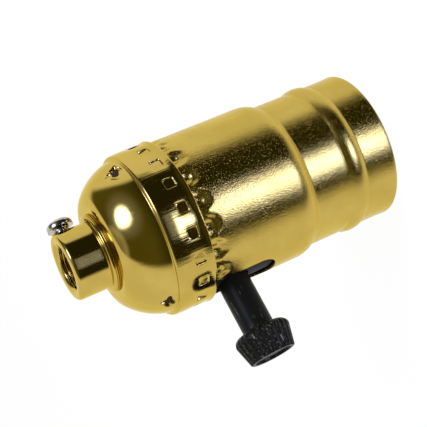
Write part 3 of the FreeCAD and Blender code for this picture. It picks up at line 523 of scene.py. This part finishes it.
hubSize = {
    "outerR": 6.95, "height": 6.1, "lipRound": 0.75, "crestR": 4.36, "rootDepth": 0.5, "pitch": 25.4 / 27,
    "flangeR": 8.2, "flangeHeight": 1.04, "grooveDepth": 0.2, "grooveWidth": 0.10, "slopeHeight": 0.54,
    "lowBead": 0.15, "footRound": 0.25, "tenonR": 7.2, "mouthBevel": 0.35, "columns": 128, "perTurn": 14,
    "threadShape": (0.12, 0.9), "mouthReach": 1.0, "footReach": 0.5, "threadFade": (0.7, 0.05),
}


def makeHub():  # outline turned round Z, closed by a bore whose radius waves with the thread
    size = hubSize
    flangeTop = -size["height"]
    flangeLow = flangeTop - size["flangeHeight"]
    bead = size["lowBead"]
    beadR = size["flangeR"] - bead
    lip = size["lipRound"]
    outerR = size["outerR"]
    foot = size["footRound"]
    mouthR = (size["crestR"] + outerR - lip) / 2
    slope = arcRun((0, 0), 1, 90, 0, 13) * (size["flangeR"] - outerR - foot, size["slopeHeight"])
    slope = slope + (outerR + foot, flangeTop - size["slopeHeight"])
    grooveR = size["flangeR"] - size["grooveDepth"]
    grooveTop = flangeLow + 2 * bead + size["grooveWidth"]
    outside = joined(
        lineRun((mouthR, hubLip), (outerR - lip, hubLip), 3),
        arcRun((outerR - lip, hubLip - lip), lip, 90, 0, 12),
        lineRun((outerR, hubLip - lip), (outerR, flangeTop + foot), 8),
        arcRun((outerR + foot, flangeTop + foot), foot, 180, 270, 6),
        slope,
        lineRun((grooveR, grooveTop), (grooveR, grooveTop - size["grooveWidth"]), 3),
        arcRun((beadR, flangeLow + bead), bead, 90, -90, 11),
        lineRun((beadR, flangeLow), (size["tenonR"], flangeLow), 3),
        lineRun((size["tenonR"], flangeLow), (size["tenonR"], hubFoot), 3),
        lineRun((size["tenonR"], hubFoot), (size["crestR"] + size["mouthBevel"], hubFoot), 3),
    )
    turns = (hubLip - hubFoot) / size["pitch"]
    heights = np.linspace(hubFoot, hubLip, int(turns * size["perTurn"]))
    angles = evenAngles(1, size["columns"])
    wave = np.abs(((heights[:, None] / size["pitch"] - angles[None, :] / (2 * math.pi)) % 1) * 2 - 1)
    groove = smooth(wave, *size["threadShape"]) * size["rootDepth"]
    mouth, low = size["mouthReach"], size["footReach"]
    nearMouth = np.clip((heights - (hubLip - mouth)) / mouth, 0, 1) ** 2 * (mouthR - size["crestR"])
    nearFoot = np.clip((hubFoot + low - heights) / low, 0, 1) * size["mouthBevel"]
    fadeFrom, fadeTo = (hubLip - value for value in size["threadFade"])
    groove = groove * (1 - smooth(heights, fadeFrom, fadeTo))[:, None]
    bore = size["crestR"] + np.maximum(groove, (nearMouth + nearFoot)[:, None])
    spread = np.ones(len(angles))
    radius = np.concatenate([outside[:, :1] * spread, bore])
    height = np.concatenate([outside[:, 1:] * spread, heights[:, None] * spread])
    return gridPiece("hubNeck", turned(radius, height, angles[None, :]), closeRows=True, creaseDeg=40)


hub = settle(makeHub(), "hub")
print("hub made:", len(hub.data.polygons), "faces")


# ---- shell: drawn sleeve with a bead, a step, fluted neck and the switch slot

shellSize = {
    "wall": 0.45, "barrelR": 16.65, "mouthR": 15.46, "rimFlare": 0.12, "rimFlareHeight": 2.4, "rimRound": 0.16,
    "beadHeight": 8.9, "beadWidth": 4.0, "beadRise": 0.57, "beadTail": 0.35, "tailRise": 0.02,
    "lipAway": 0.2, "lipWidth": 0.11, "lipRise": 0.045, "stepDrop": 27.7, "stepLength": 3.5,
    "neckDepth": 0.45, "neckLength": 8.6, "neckTaper": 2.0, "neckRaise": 1.9, "neckFrom": 0.8, "neckReach": 2.4,
    "flutes": 20, "fluteDepth": 0.5, "fluteRound": 1.5, "fluteLength": 9.2, "perFlute": 16,
    "pullDepth": 0.11, "pullReach": 1.35, "slotHalf": 4.95, "slotCorner": 3.5, "slotFloor": 0.14, "slotDepth": 21.1,
    "reach": 0.75,
}


def easedBead(height, size):  # the bead's circular crest blended to the wall with a hollow each side
    along = np.abs(height - (rim + size["beadHeight"]))
    half = size["beadWidth"] / 2
    crestR = (half**2 + size["beadRise"]**2) / (2 * size["beadRise"])
    crest = np.sqrt(np.maximum(crestR**2 - along**2, 0)) - (crestR - size["beadRise"])
    lift = np.where(along < half, crest, 0)
    tail = np.clip(1 - np.abs(along - half) / size["beadTail"], 0, 1)
    lip = np.exp(-((height - rim - size["beadHeight"] - half - size["lipAway"]) / size["lipWidth"])**2)
    return lift + size["tailRise"] * tail**2 + size["lipRise"] * lip


def shellWallR(height, size):  # radius of the outer wall at each height, from the rim to the top
    rise = size["barrelR"] - size["mouthR"]
    stepHigh = shellTop - size["stepDrop"]
    stepLow = stepHigh - size["stepLength"]
    bend = (rise**2 + size["stepLength"]**2) / (2 * rise)
    onStep = np.sqrt(np.maximum(bend**2 - np.clip(stepHigh - height, 0, bend)**2, 0)) - bend + size["barrelR"]
    radius = np.where(height < stepLow, size["mouthR"], np.where(height < stepHigh, onStep, size["barrelR"]))
    radius = np.where(height < stepLow, size["mouthR"] + easedBead(height, size), radius)
    flare = np.clip(1 - (height - rim) / size["rimFlareHeight"], 0, 1)
    return radius + size["rimFlare"] * flare * (height < stepLow)


def shellHeights(size):  # rows close together where the wall bends
    stepHigh = shellTop - size["stepDrop"]
    stepLow = stepHigh - size["stepLength"]
    bead = rim + size["beadHeight"]
    slotLow = shellTop - size["slotDepth"]
    neckLow = shellTop - size["neckLength"]
    soft = slotLow + size["slotFloor"] * np.array([0, 0.08, 0.25, 0.55, 1.0])
    corner = soft[-1] + size["slotCorner"] * (1 - np.cos(np.linspace(0, math.pi / 2, 12)))
    stops = [
        np.linspace(rim + size["rimRound"], rim + size["rimFlareHeight"], 4),
        np.linspace(bead - 3.0, bead + 1.8, 21),
        np.linspace(bead + 1.86, bead + 2.6, 11),
        np.linspace(stepLow - 0.5, stepHigh + 0.4, 17),
        np.array([slotLow - 2.0, slotLow - 0.6]),
        soft, corner,
        np.linspace(corner[-1] + 1.0, neckLow - size["neckTaper"] - 0.3, 5),
        np.linspace(neckLow - size["neckTaper"], neckLow + 0.4, 14),
        np.linspace(neckLow + 0.8, shellTop - size["rimRound"], 8),
    ]
    return np.unique(np.round(np.concatenate(stops), 5))


def slotEdge(height, radius, size):  # half angle of the slot's opening at each height, 0 below it
    slotLow = shellTop - size["slotDepth"]
    flat = size["slotHalf"] - size["slotCorner"]
    floorRise, bend = size["slotFloor"], size["slotCorner"]
    up = height - slotLow - floorRise
    corner = np.sqrt(np.maximum(bend**2 - np.clip(bend - up, 0, bend)**2, 0))
    half = np.where(up > 0, flat + corner, flat * np.sqrt(np.clip((up + floorRise) / floorRise, 0, 1)))
    half = np.where(height <= slotLow + 1e-6, 0, half)
    return np.arcsin(half / radius)


def makeShell():  # outer and inner wall round Z, columns moved aside where the slot opens
    size = shellSize
    heights = shellHeights(size)
    outerR = shellWallR(heights, size)
    innerR = outerR - size["wall"]
    count = size["flutes"] * size["perFlute"]
    around = np.linspace(0, 2 * math.pi, count + 1)
    pitch = 2 * math.pi / size["flutes"]

    def pressed(radius, height, angles):  # the flutes: a round-ended groove pressed into the neck
        across = ((angles / pitch) % 1 - 0.5) * pitch * (size["barrelR"] - size["neckDepth"])
        lowEnd = shellTop - size["fluteLength"] + size["fluteRound"]
        down = np.clip(lowEnd - height, 0, None)
        near = np.sqrt(across**2 + down**2)
        gap = size["fluteRound"] - size["fluteDepth"]
        chord = math.sqrt(size["fluteRound"]**2 - gap**2)
        sink = np.sqrt(np.maximum(size["fluteRound"]**2 - near**2, 0)) - gap
        pull = size["pullDepth"] * np.exp(-0.5 * (near / size["pullReach"])**2)
        aside = smooth(np.abs(across), size["neckFrom"], size["neckReach"])
        neckLow = shellTop - size["neckLength"] + size["neckRaise"] * aside
        pull = pull + size["neckDepth"] * smooth(height, neckLow - size["neckTaper"], neckLow)
        return radius - np.where(near < chord, np.maximum(sink, 0), 0) - pull

    def wall(radius, heights, edgeR):  # one skin: columns run from the slot's edge round to its other edge
        opening = slotEdge(heights, edgeR, size)[:, None]
        reach = size["reach"]
        base = np.minimum(around, 2 * math.pi - around)[None, :]
        shifted = np.where(base < reach, opening + base * (1 - opening / reach), base)
        angles = np.where(around[None, :] <= math.pi, shifted, 2 * math.pi - shifted)
        grid = np.repeat(radius[:, None], count + 1, 1)
        tall = np.repeat(heights[:, None], count + 1, 1)
        return turned(pressed(grid, tall, angles), tall, angles)

    soft = size["rimRound"]
    outer = wall(outerR, heights, outerR)
    inner = wall(innerR, heights, innerR)[::-1]
    lowest, highest = np.full(1, rim), np.full(1, shellTop)
    rimRow = wall((outerR[:1] + innerR[:1]) / 2, lowest, outerR[:1])
    rimOuter = wall(outerR[:1] - soft * 0.3, lowest + soft * 0.3, outerR[:1])
    rimInner = wall(innerR[:1] + soft * 0.3, lowest + soft * 0.3, innerR[:1])
    topRow = wall((outerR[-1:] + innerR[-1:]) / 2, highest, outerR[-1:])
    points = np.concatenate([outer, topRow, inner, rimInner, rimRow, rimOuter])
    rows, cols = points.shape[:2]
    index = np.arange(rows * cols).reshape(rows, cols)
    faces = gridFaces(index, True, False)
    n = len(heights)
    outRows = np.nonzero(heights >= shellTop - size["slotDepth"] - 1e-5)[0]
    inRows = n + 1 + (n - 1 - outRows)
    edges = []
    for column in (0, cols - 1):  # the slot's cut edge, from its floor up each side
        a, b = index[outRows, column], index[inRows, column]
        quads = np.stack([a[:-1], a[1:], b[1:], b[:-1]], -1)
        tip = np.array([[a[-1], index[n, column], b[-1], b[-1]]])
        edges.append(quads if column else quads[:, ::-1])
        edges.append(tip if column else tip[:, ::-1])
    return meshFrom("shellSleeve", points, np.concatenate([faces] + edges))


shell = settle(makeShell(), "shell")
print("shell made:", len(shell.data.polygons), "faces")


# ---- screw shell: sleeve with the lamp's rolled thread

threadSize = {
    "rootR": 13.15, "wall": 0.35, "rise": 0.78, "pitch": 25.4 / 7, "lead": 1.4, "neckDepth": 0.55,
    "neckHeight": 6.05, "shoulder": 1.0, "openingR": 7.4, "columns": 120, "perTurn": 18,
    "startPlain": 0.8, "endFade": 1.2, "crest": 1.2, "innerRound": 0.3, "outerRound": 0.6,
}


def makeScrewShell():  # radius less the rise times a wave that turns once a pitch, faded at both ends
    size = threadSize
    low, high = cornerOf("screw_shell", False)[2], cornerOf("screw_shell", True)[2]
    shoulderLow = high - size["neckHeight"]
    shoulderHigh = shoulderLow + size["shoulder"]
    heights = np.linspace(low, shoulderLow, int((shoulderLow - low) / size["pitch"] * size["perTurn"]))
    angles = evenAngles(1, size["columns"])
    wave = 0.5 + 0.5 * np.cos(2 * math.pi * (heights[:, None] / size["pitch"] - angles[None, :] / (2 * math.pi)))
    start = low + size["startPlain"]
    fade = smooth(heights, start, start + size["lead"])
    fade = fade * (1 - smooth(heights, shoulderLow - size["endFade"], shoulderLow))
    inner = size["rootR"] - size["rise"] * wave ** size["crest"] * fade[:, None]
    neck = size["rootR"] - size["neckDepth"]
    wall, within, outer = size["wall"], size["innerRound"], size["outerRound"]
    tail = joined(
        lineRun((neck, shoulderHigh), (neck, high - wall - within), 3),
        arcRun((neck - within, high - wall - within), within, 0, 90, 5),
        lineRun((neck - within, high - wall), (size["openingR"], high - wall), 3),
        lineRun((size["openingR"], high), (neck + wall - outer, high), 3),
        arcRun((neck + wall - outer, high - outer), outer, 90, 0, 5),
        lineRun((neck + wall, high - outer), (neck + wall, shoulderHigh), 3),
    )
    spread = np.ones(len(angles))
    radius = np.concatenate([inner, tail[:, :1] * spread, inner[::-1] + wall])
    tall = np.concatenate([heights[:, None] * spread, tail[:, 1:] * spread, heights[::-1, None] * spread])
    return gridPiece("lampThread", turned(radius, tall, angles[None, :]), closeRows=True)


screwShell = settle(makeScrewShell(), "screw_shell")
print("screw shell made:", len(screwShell.data.polygons), "faces")


# ---- knob: stem and fluted head

knobSize = {
    "stemR": 3.3, "headStart": stemEnd, "backR": 5.85, "frontR": 4.85, "shoulder": 1.6, "shoulderR": 4.1,
    "edge": 0.35, "recessR": 3.9, "recess": 0.5, "flutes": 24, "fluteR": 0.5, "fluteDepth": 0.28, "perFlute": 14,
    "filletR": 0.35, "stemEdge": 0.2, "recessEdge": 0.12, "centreR": 0.4,
}


def makeKnob():  # outline turned round X, round grooves cut into the head
    size = knobSize
    start, front = cornerOf("knob", False)[0], cornerOf("knob", True)[0]
    back = size["headStart"] + size["shoulder"]
    bow = arcRun((0, 0), 1, 180, 90, 11)
    shoulder = np.stack([
        size["shoulderR"] + (size["backR"] - size["shoulderR"]) * bow[:, 1],
        back + size["shoulder"] * bow[:, 0],
    ], 1)
    lipR = size["frontR"] - size["edge"]
    small, stemEdge, soft = size["filletR"], size["stemEdge"], size["recessEdge"]
    profile = capped(joined(
        lineRun((size["stemR"] - stemEdge, start), (size["stemR"], start + stemEdge), 3),
        lineRun((size["stemR"], start + stemEdge), (size["stemR"], size["headStart"] - small), 12),
        arcRun((size["stemR"] + small, size["headStart"] - small), small, 180, 90, 5),
        lineRun((size["stemR"] + small, size["headStart"]), shoulder[0], 2),
        shoulder,
        lineRun((size["backR"], back), (size["frontR"], front - size["edge"]), 12),
        arcRun((lipR, front - size["edge"]), size["edge"], 0, 90, 6),
        lineRun((lipR, front), (size["recessR"] + soft, front), 2),
        arcRun((size["recessR"] + soft, front - soft), soft, 90, 180, 4),
        lineRun((size["recessR"], front - soft), (size["recessR"] - soft, front - size["recess"]), 3),
        lineRun((size["recessR"] - soft, front - size["recess"]), (size["centreR"], front - size["recess"]), 5),
    ))
    angles = evenAngles(size["flutes"], size["perFlute"])
    pitch = 2 * math.pi / size["flutes"]
    along, radius = profile[:, 1:], profile[:, :1]
    across = ((angles / pitch + 0.5) % 1 - 0.5) * pitch
    reach = np.abs(across)[None, :] * radius
    gap = size["fluteR"] - size["fluteDepth"]
    cut = np.sqrt(np.maximum(size["fluteR"]**2 - reach**2, 0)) - gap
    onHead = smooth(along, size["headStart"] + 0.2, back - 0.1) * (along <= front - size["edge"] * 0.1)
    onHead = onHead * (radius > lipR * 0.99)
    grooved = radius - np.maximum(cut, 0) * onHead
    points = np.stack([along + 0 * grooved, grooved * np.sin(angles), grooved * np.cos(angles) + knobLevel], -1)
    return gridPiece("turnKnob", points, creaseDeg=38)


knob = settle(makeKnob(), "knob", "switch_shaft")
print("knob made:", len(knob.data.polygons), "faces")


# ---- slotted screws

setScrewSize = {
    "headR": 2.7, "headHeight": 1.7, "slotWidth": 0.85, "slotDepth": 0.8, "crown": 0.42, "shankR": 1.75,
    "pitch": 0.794, "rootDepth": 0.35, "spinDeg": 62,
}
baseScrewSize = {
    "headR": 1.8, "headHeight": 1.1, "slotWidth": 0.7, "slotDepth": 0.5, "crown": 0.25, "shankR": 1.25,
    "pitch": 0.8, "rootDepth": 0.25, "spinDeg": (25, 110),
}


def slottedHead(size):  # a crowned head over a disc of straight columns, pressed down between the slot's walls
    half = size["slotWidth"] / 2 / size["headR"]
    far = np.sin(np.linspace(math.asin(half * 1.06), math.pi / 2, 15))
    side = np.concatenate([np.linspace(0, half * 0.985, 4), far])
    columns = np.concatenate([-side[:0:-1], side])
    t = np.sin(np.linspace(-math.pi / 2, math.pi / 2, 41))
    px = np.repeat(columns[:, None], len(t), 1)
    py = t[None, :] * np.sqrt(np.maximum(1 - px**2, 0))
    away = np.clip(np.sqrt(px**2 + py**2), 0, 1)
    profile = joined(
        lineRun((0, 1), (0.80, 1 - size["crown"] * 0.35), 14),
        np.array([[0.92, 1 - size["crown"] * 0.75], [0.985, 0.52], [1.0, 0.28], [1.0, 0.10], [0.985, 0.0]]),
    )
    measure = np.linspace(0, 1, len(profile))
    shape = np.interp(away, measure, profile[:, 0])
    lift = np.interp(away, measure, profile[:, 1])
    turn = np.arctan2(py, px)
    x = size["headR"] * shape * np.cos(turn)
    y = size["headR"] * shape * np.sin(turn)
    z = size["headHeight"] * lift
    z = np.where(np.abs(px) < half, np.minimum(z, size["headHeight"] - size["slotDepth"]), z)
    return np.stack([x, y, z], -1), np.stack([x, y, 0 * z], -1)


def headMesh(size):  # the slotted top and its flat underside, closed along the rim
    top, bottom = slottedHead(size)
    rows, cols = top.shape[:2]
    upper = np.arange(rows * cols).reshape(rows, cols)
    lower = upper + rows * cols
    faces = [gridFaces(upper, False, False), gridFaces(lower, False, False)[:, ::-1]]
    for edge in (0, cols - 1):
        a, b = upper[:, edge], lower[:, edge]
        quads = np.stack([a[:-1], b[:-1], b[1:], a[1:]], -1)
        faces.append(quads if edge else quads[:, ::-1])
    return np.concatenate([top.reshape(-1, 3), bottom.reshape(-1, 3)]), np.concatenate(faces)


def shankMesh(size, length):  # helical grooves on a rod that runs down from the head
    heights = np.linspace(0.1, -length, int(length / size["pitch"] * 12) + 2)
    angles = evenAngles(1, 40)
    wave = np.abs(((heights[:, None] / size["pitch"] - angles[None, :] / (2 * math.pi)) % 1) * 2 - 1)
    radius = size["shankR"] - size["rootDepth"] * smooth(wave, 0.2, 0.95)
    taper = np.clip((heights + length) / 0.4, 0.0, 1.0)[:, None]
    radius = radius * (0.75 + 0.25 * taper)
    points = turned(radius, heights[:, None], angles[None, :])
    ends = [np.repeat(np.array([[[0, 0, z]]]), len(angles), 1) for z in (heights[0], heights[-1])]
    points = np.concatenate([ends[0], points, ends[1]])
    index = np.arange(points.shape[0] * points.shape[1]).reshape(points.shape[:2])
    return points.reshape(-1, 3), gridFaces(index, False, True)


def joinMeshes(parts):  # several point and face sets as one
    points, faces, start = [], [], 0
    for some, quads in parts:
        points.append(some)
        faces.append(quads + start)
        start += len(some)
    return np.concatenate(points), np.concatenate(faces)


def aimed(points, origin, direction, spinDeg=0.0):  # points with their Z axis laid along a direction
    turn = Vector((0, 0, 1)).rotation_difference(Vector(direction)).to_matrix()
    turn = np.array(turn @ Matrix.Rotation(math.radians(spinDeg), 3, "Z"))
    return points @ turn.T + np.array(origin)


def makeSetScrew():  # head and shank laid along -X at the node's middle
    size = setScrewSize
    low, high = cornerOf("hub_set_screw", False), cornerOf("hub_set_screw", True)
    middle = (low + high) / 2
    seat = low[0] + size["headHeight"]
    points, faces = joinMeshes([headMesh(size), shankMesh(size, high[0] - seat)])
    points = aimed(points, (seat, middle[1], middle[2]), (-1, 0, 0), size["spinDeg"])
    return meshFrom("hubSetScrew", points, faces)


settle(makeSetScrew(), "hub_set_screw", "set_screw")


def makeBaseScrews():  # two screws that point down, one each side
    size = baseScrewSize
    low, high = cornerOf("base_screws", False), cornerOf("base_screws", True)
    seat = low[2] + size["headHeight"]
    reach = high[0] - size["headR"]
    parts = []
    for side, spin in zip((-1, 1), size["spinDeg"]):
        for some, quads in (headMesh(size), shankMesh(size, high[2] - seat)):
            parts.append((aimed(some, (side * reach, 0, seat), (0, 0, -1), spin), quads))
    return meshFrom("baseScrews", *joinMeshes(parts))


settle(makeBaseScrews(), "base_screws")
print("screws made")


# ---- floor, light, camera

floorLevel = rim * mm
studio = {
    "floorSize": 3.0, "floorGlow": 0.94, "ambient": 0.80, "turnDeg": 88.0,
    "dim": (0.112, 0.108, 0.022), "left": (-76, -62), "right": (118, 132), "rise": (66, 80), "zenith": 0.32,
    "goldSide": 103.0, "goldReach": 35.0, "goldLow": 5.0, "goldRise": 25.0, "goldWiden": (-13, 2),
    "goldEdge": (0.86, 1.14), "ground": (-64, -48), "zenithSide": (-96, -70), "cool": (0.86, 1.0, 2.2),
    "strip": 7.5, "stripLeft": (-41, -20), "stripRight": (-18, 1), "stripTop": (-20, -15.5), "stripLow": (-40, -31),
    "band": 0.30, "bandLeft": (-38, -30), "bandRight": (-2, 2), "bandRise": (-10, -7),
    "bandLow": (-20, -16),
    "box": 8.0, "boxSide": 37.0, "boxRise": 50.5, "boxReach": 23.0, "boxHeight": 15.0, "boxEdge": (0.35, 1.25),
    "halo": 0.20, "haloEdge": (0.9, 2.6),
    "dimLow": 0.22, "dimRise": (-10, 28),
}


def makeFloor():  # a pale square at the rim's level that mostly glows white and keeps the shadow
    half = studio["floorSize"] / 2
    corners = [(x, y, floorLevel) for x, y in ((-half, -half), (half, -half), (half, half), (-half, half))]
    mesh = bpy.data.meshes.new("studioFloor")
    mesh.from_pydata(corners, [], [[0, 1, 2, 3]])
    made = bpy.data.objects.new("studioFloor", mesh)
    scene.collection.objects.link(made)
    paint = bpy.data.materials.new("floorPaint")
    paint.use_nodes = True
    tree = paint.node_tree
    tree.nodes.clear()
    wire = Wire(tree)
    seen = wire.node("ShaderNodeLightPath", {}, {}, 0)
    matt = wire.node("ShaderNodeBsdfDiffuse", {}, {"Color": rgb(0.92, 0.92, 0.92)})
    glow = wire.node("ShaderNodeEmission", {}, {"Color": rgb(1, 1, 1), "Strength": 1.0})
    both = wire.node("ShaderNodeMixShader", {}, {0: seen * studio["floorGlow"], 1: matt, 2: glow})
    end = tree.nodes.new("ShaderNodeOutputMaterial")
    tree.links.new(both.socket, end.inputs["Surface"])
    mesh.materials.append(paint)
    made.visible_glossy = False
    return made


makeFloor()


def makeWorld():  # white all round; polished metal also sees a dim room in front, a strip light and a softbox
    world = bpy.data.worlds.new("studioWorld")
    scene.world = world
    world.use_nodes = True
    tree = world.node_tree
    tree.nodes.clear()
    wire = Wire(tree)
    ray = wire.node("ShaderNodeTexCoord", {}, {}, 0)
    turn = (0, 0, -math.radians(studio["turnDeg"]))
    facing = wire.node("ShaderNodeMapping", {"vector_type": "POINT"}, {"Vector": ray, "Rotation": turn})
    split = wire.node("ShaderNodeSeparateXYZ", {}, {"Vector": facing}).socket.node
    x, y, z = (Wire(tree, split.outputs[n]) for n in range(3))
    side = wire.math("ARCTAN2", y, x) * (180 / math.pi)
    rise = wire.math("ARCSINE", z) * (180 / math.pi)

    def oval(sideDeg, riseDeg, reach, height):  # distance from a point of the sky, 1 on an ellipse round it
        a = (side - sideDeg) / reach
        b = (rise - riseDeg) / height
        return wire.math("SQRT", a * a + b * b)

    reach = studio["goldReach"] + studio["goldLow"] * (1 - rise.between(*studio["goldWiden"]))
    a = (side - studio["goldSide"]) / reach
    b = wire.math("MAXIMUM", rise, 0.0) / studio["goldRise"]
    opening = 1 - wire.math("SQRT", a * a + b * b).between(*studio["goldEdge"])
    dim = side.between(*studio["left"]) * (1 - side.between(*studio["right"])) * (1 - opening)
    dim = dim * rise.between(*studio["ground"])
    top = rise.between(*studio["rise"]) * side.between(*studio["zenithSide"])
    strip = side.between(*studio["stripLeft"]) * (1 - side.between(*studio["stripRight"]))
    strip = strip * (1 - rise.between(*studio["stripTop"])) * rise.between(*studio["stripLow"])
    band = side.between(*studio["bandLeft"]) * (1 - side.between(*studio["bandRight"]))
    band = band * (1 - rise.between(*studio["bandRise"])) * rise.between(*studio["bandLow"])
    box = oval(studio["boxSide"], studio["boxRise"], studio["boxReach"], studio["boxHeight"])
    glow = (1 - box.between(*studio["boxEdge"])) * studio["box"]
    glow = glow + (1 - box.between(*studio["haloEdge"])) * studio["halo"]
    low = rgb(*(value * studio["dimLow"] for value in studio["dim"]))
    shade = rise.between(*studio["dimRise"]).blend(low, rgb(*studio["dim"]))
    room = (1 - dim * (1 - top)).blend(shade, rgb(1, 1, 1))
    zenith = (top * dim).blend(room, rgb(*(studio["zenith"],) * 3))
    lights = strip * studio["strip"] + glow + band * studio["band"]
    added = {0: lights.fill(), 1: studio["cool"], 2: zenith}
    tint = wire.node("ShaderNodeVectorMath", {"operation": "MULTIPLY_ADD"}, added)
    path = wire.node("ShaderNodeLightPath", {}, {}, 0).socket.node
    camera, glossy = Wire(tree, path.outputs["Is Camera Ray"]), Wire(tree, path.outputs["Is Glossy Ray"])
    through = Wire(tree, path.outputs["Is Transmission Ray"])
    other = 1 - camera - glossy - through
    strength = camera + through + glossy + other * studio["ambient"]
    colour = glossy.blend(rgb(1, 1, 1), tint)
    sky = wire.node("ShaderNodeBackground", {}, {"Color": colour, "Strength": strength})
    end = tree.nodes.new("ShaderNodeOutputWorld")
    tree.links.new(sky.socket, end.inputs["Surface"])
    world.cycles.sampling_method = "NONE"


makeWorld()

lamps = {
    "key": {"from": (-0.32, 0.34, 0.42), "size": 0.30, "power": 3.2},
    "fill": {"from": (0.45, 0.20, 0.15), "size": 0.40, "power": 1.2},
}


def makeLamp(name, values):  # a disc light away from the knob's level, turned to face it
    light = bpy.data.lights.new(name, "AREA")
    light.shape = "DISK"
    light.size = values["size"]
    light.energy = values["power"]
    lamp = bpy.data.objects.new(name, light)
    scene.collection.objects.link(lamp)
    aim = Vector((0, 0, knobLevel * mm))
    away = Vector(values["from"])
    lamp.location = aim + away
    lamp.rotation_euler = away.to_track_quat("Z", "Y").to_euler()
    lamp.visible_glossy = False


for name, values in lamps.items():
    makeLamp(name, values)

cameraPlace = {
    "aim": (1.405, -0.706, -32.145), "distance": 245.03, "azimuthDeg": 74.56, "elevationDeg": 19.73,
    "rollDeg": 113.18, "lens": 101.17, "sensor": 36.0,
}


def makeCamera(values):  # stands off from the aim point by distance along an azimuth and elevation, then rolls
    data = bpy.data.cameras.new("studioCamera")
    data.lens = values["lens"]
    data.sensor_width = values["sensor"]
    data.clip_start = 0.01
    data.clip_end = 20
    made = bpy.data.objects.new("studioCamera", data)
    scene.collection.objects.link(made)
    az, el = math.radians(values["azimuthDeg"]), math.radians(values["elevationDeg"])
    out = Vector((math.cos(el) * math.cos(az), math.cos(el) * math.sin(az), math.sin(el)))
    right = Vector((0, 0, 1)).cross(out).normalized()
    up = out.cross(right)
    turn = Matrix((right, up, out)).transposed() @ Matrix.Rotation(math.radians(-values["rollDeg"]), 3, "Z")
    place = (Vector(values["aim"]) + out * values["distance"]) * mm
    made.matrix_world = Matrix.LocRotScale(place, turn.to_quaternion(), None)
    scene.camera = made


makeCamera(cameraPlace)
print("floor, light and camera set")
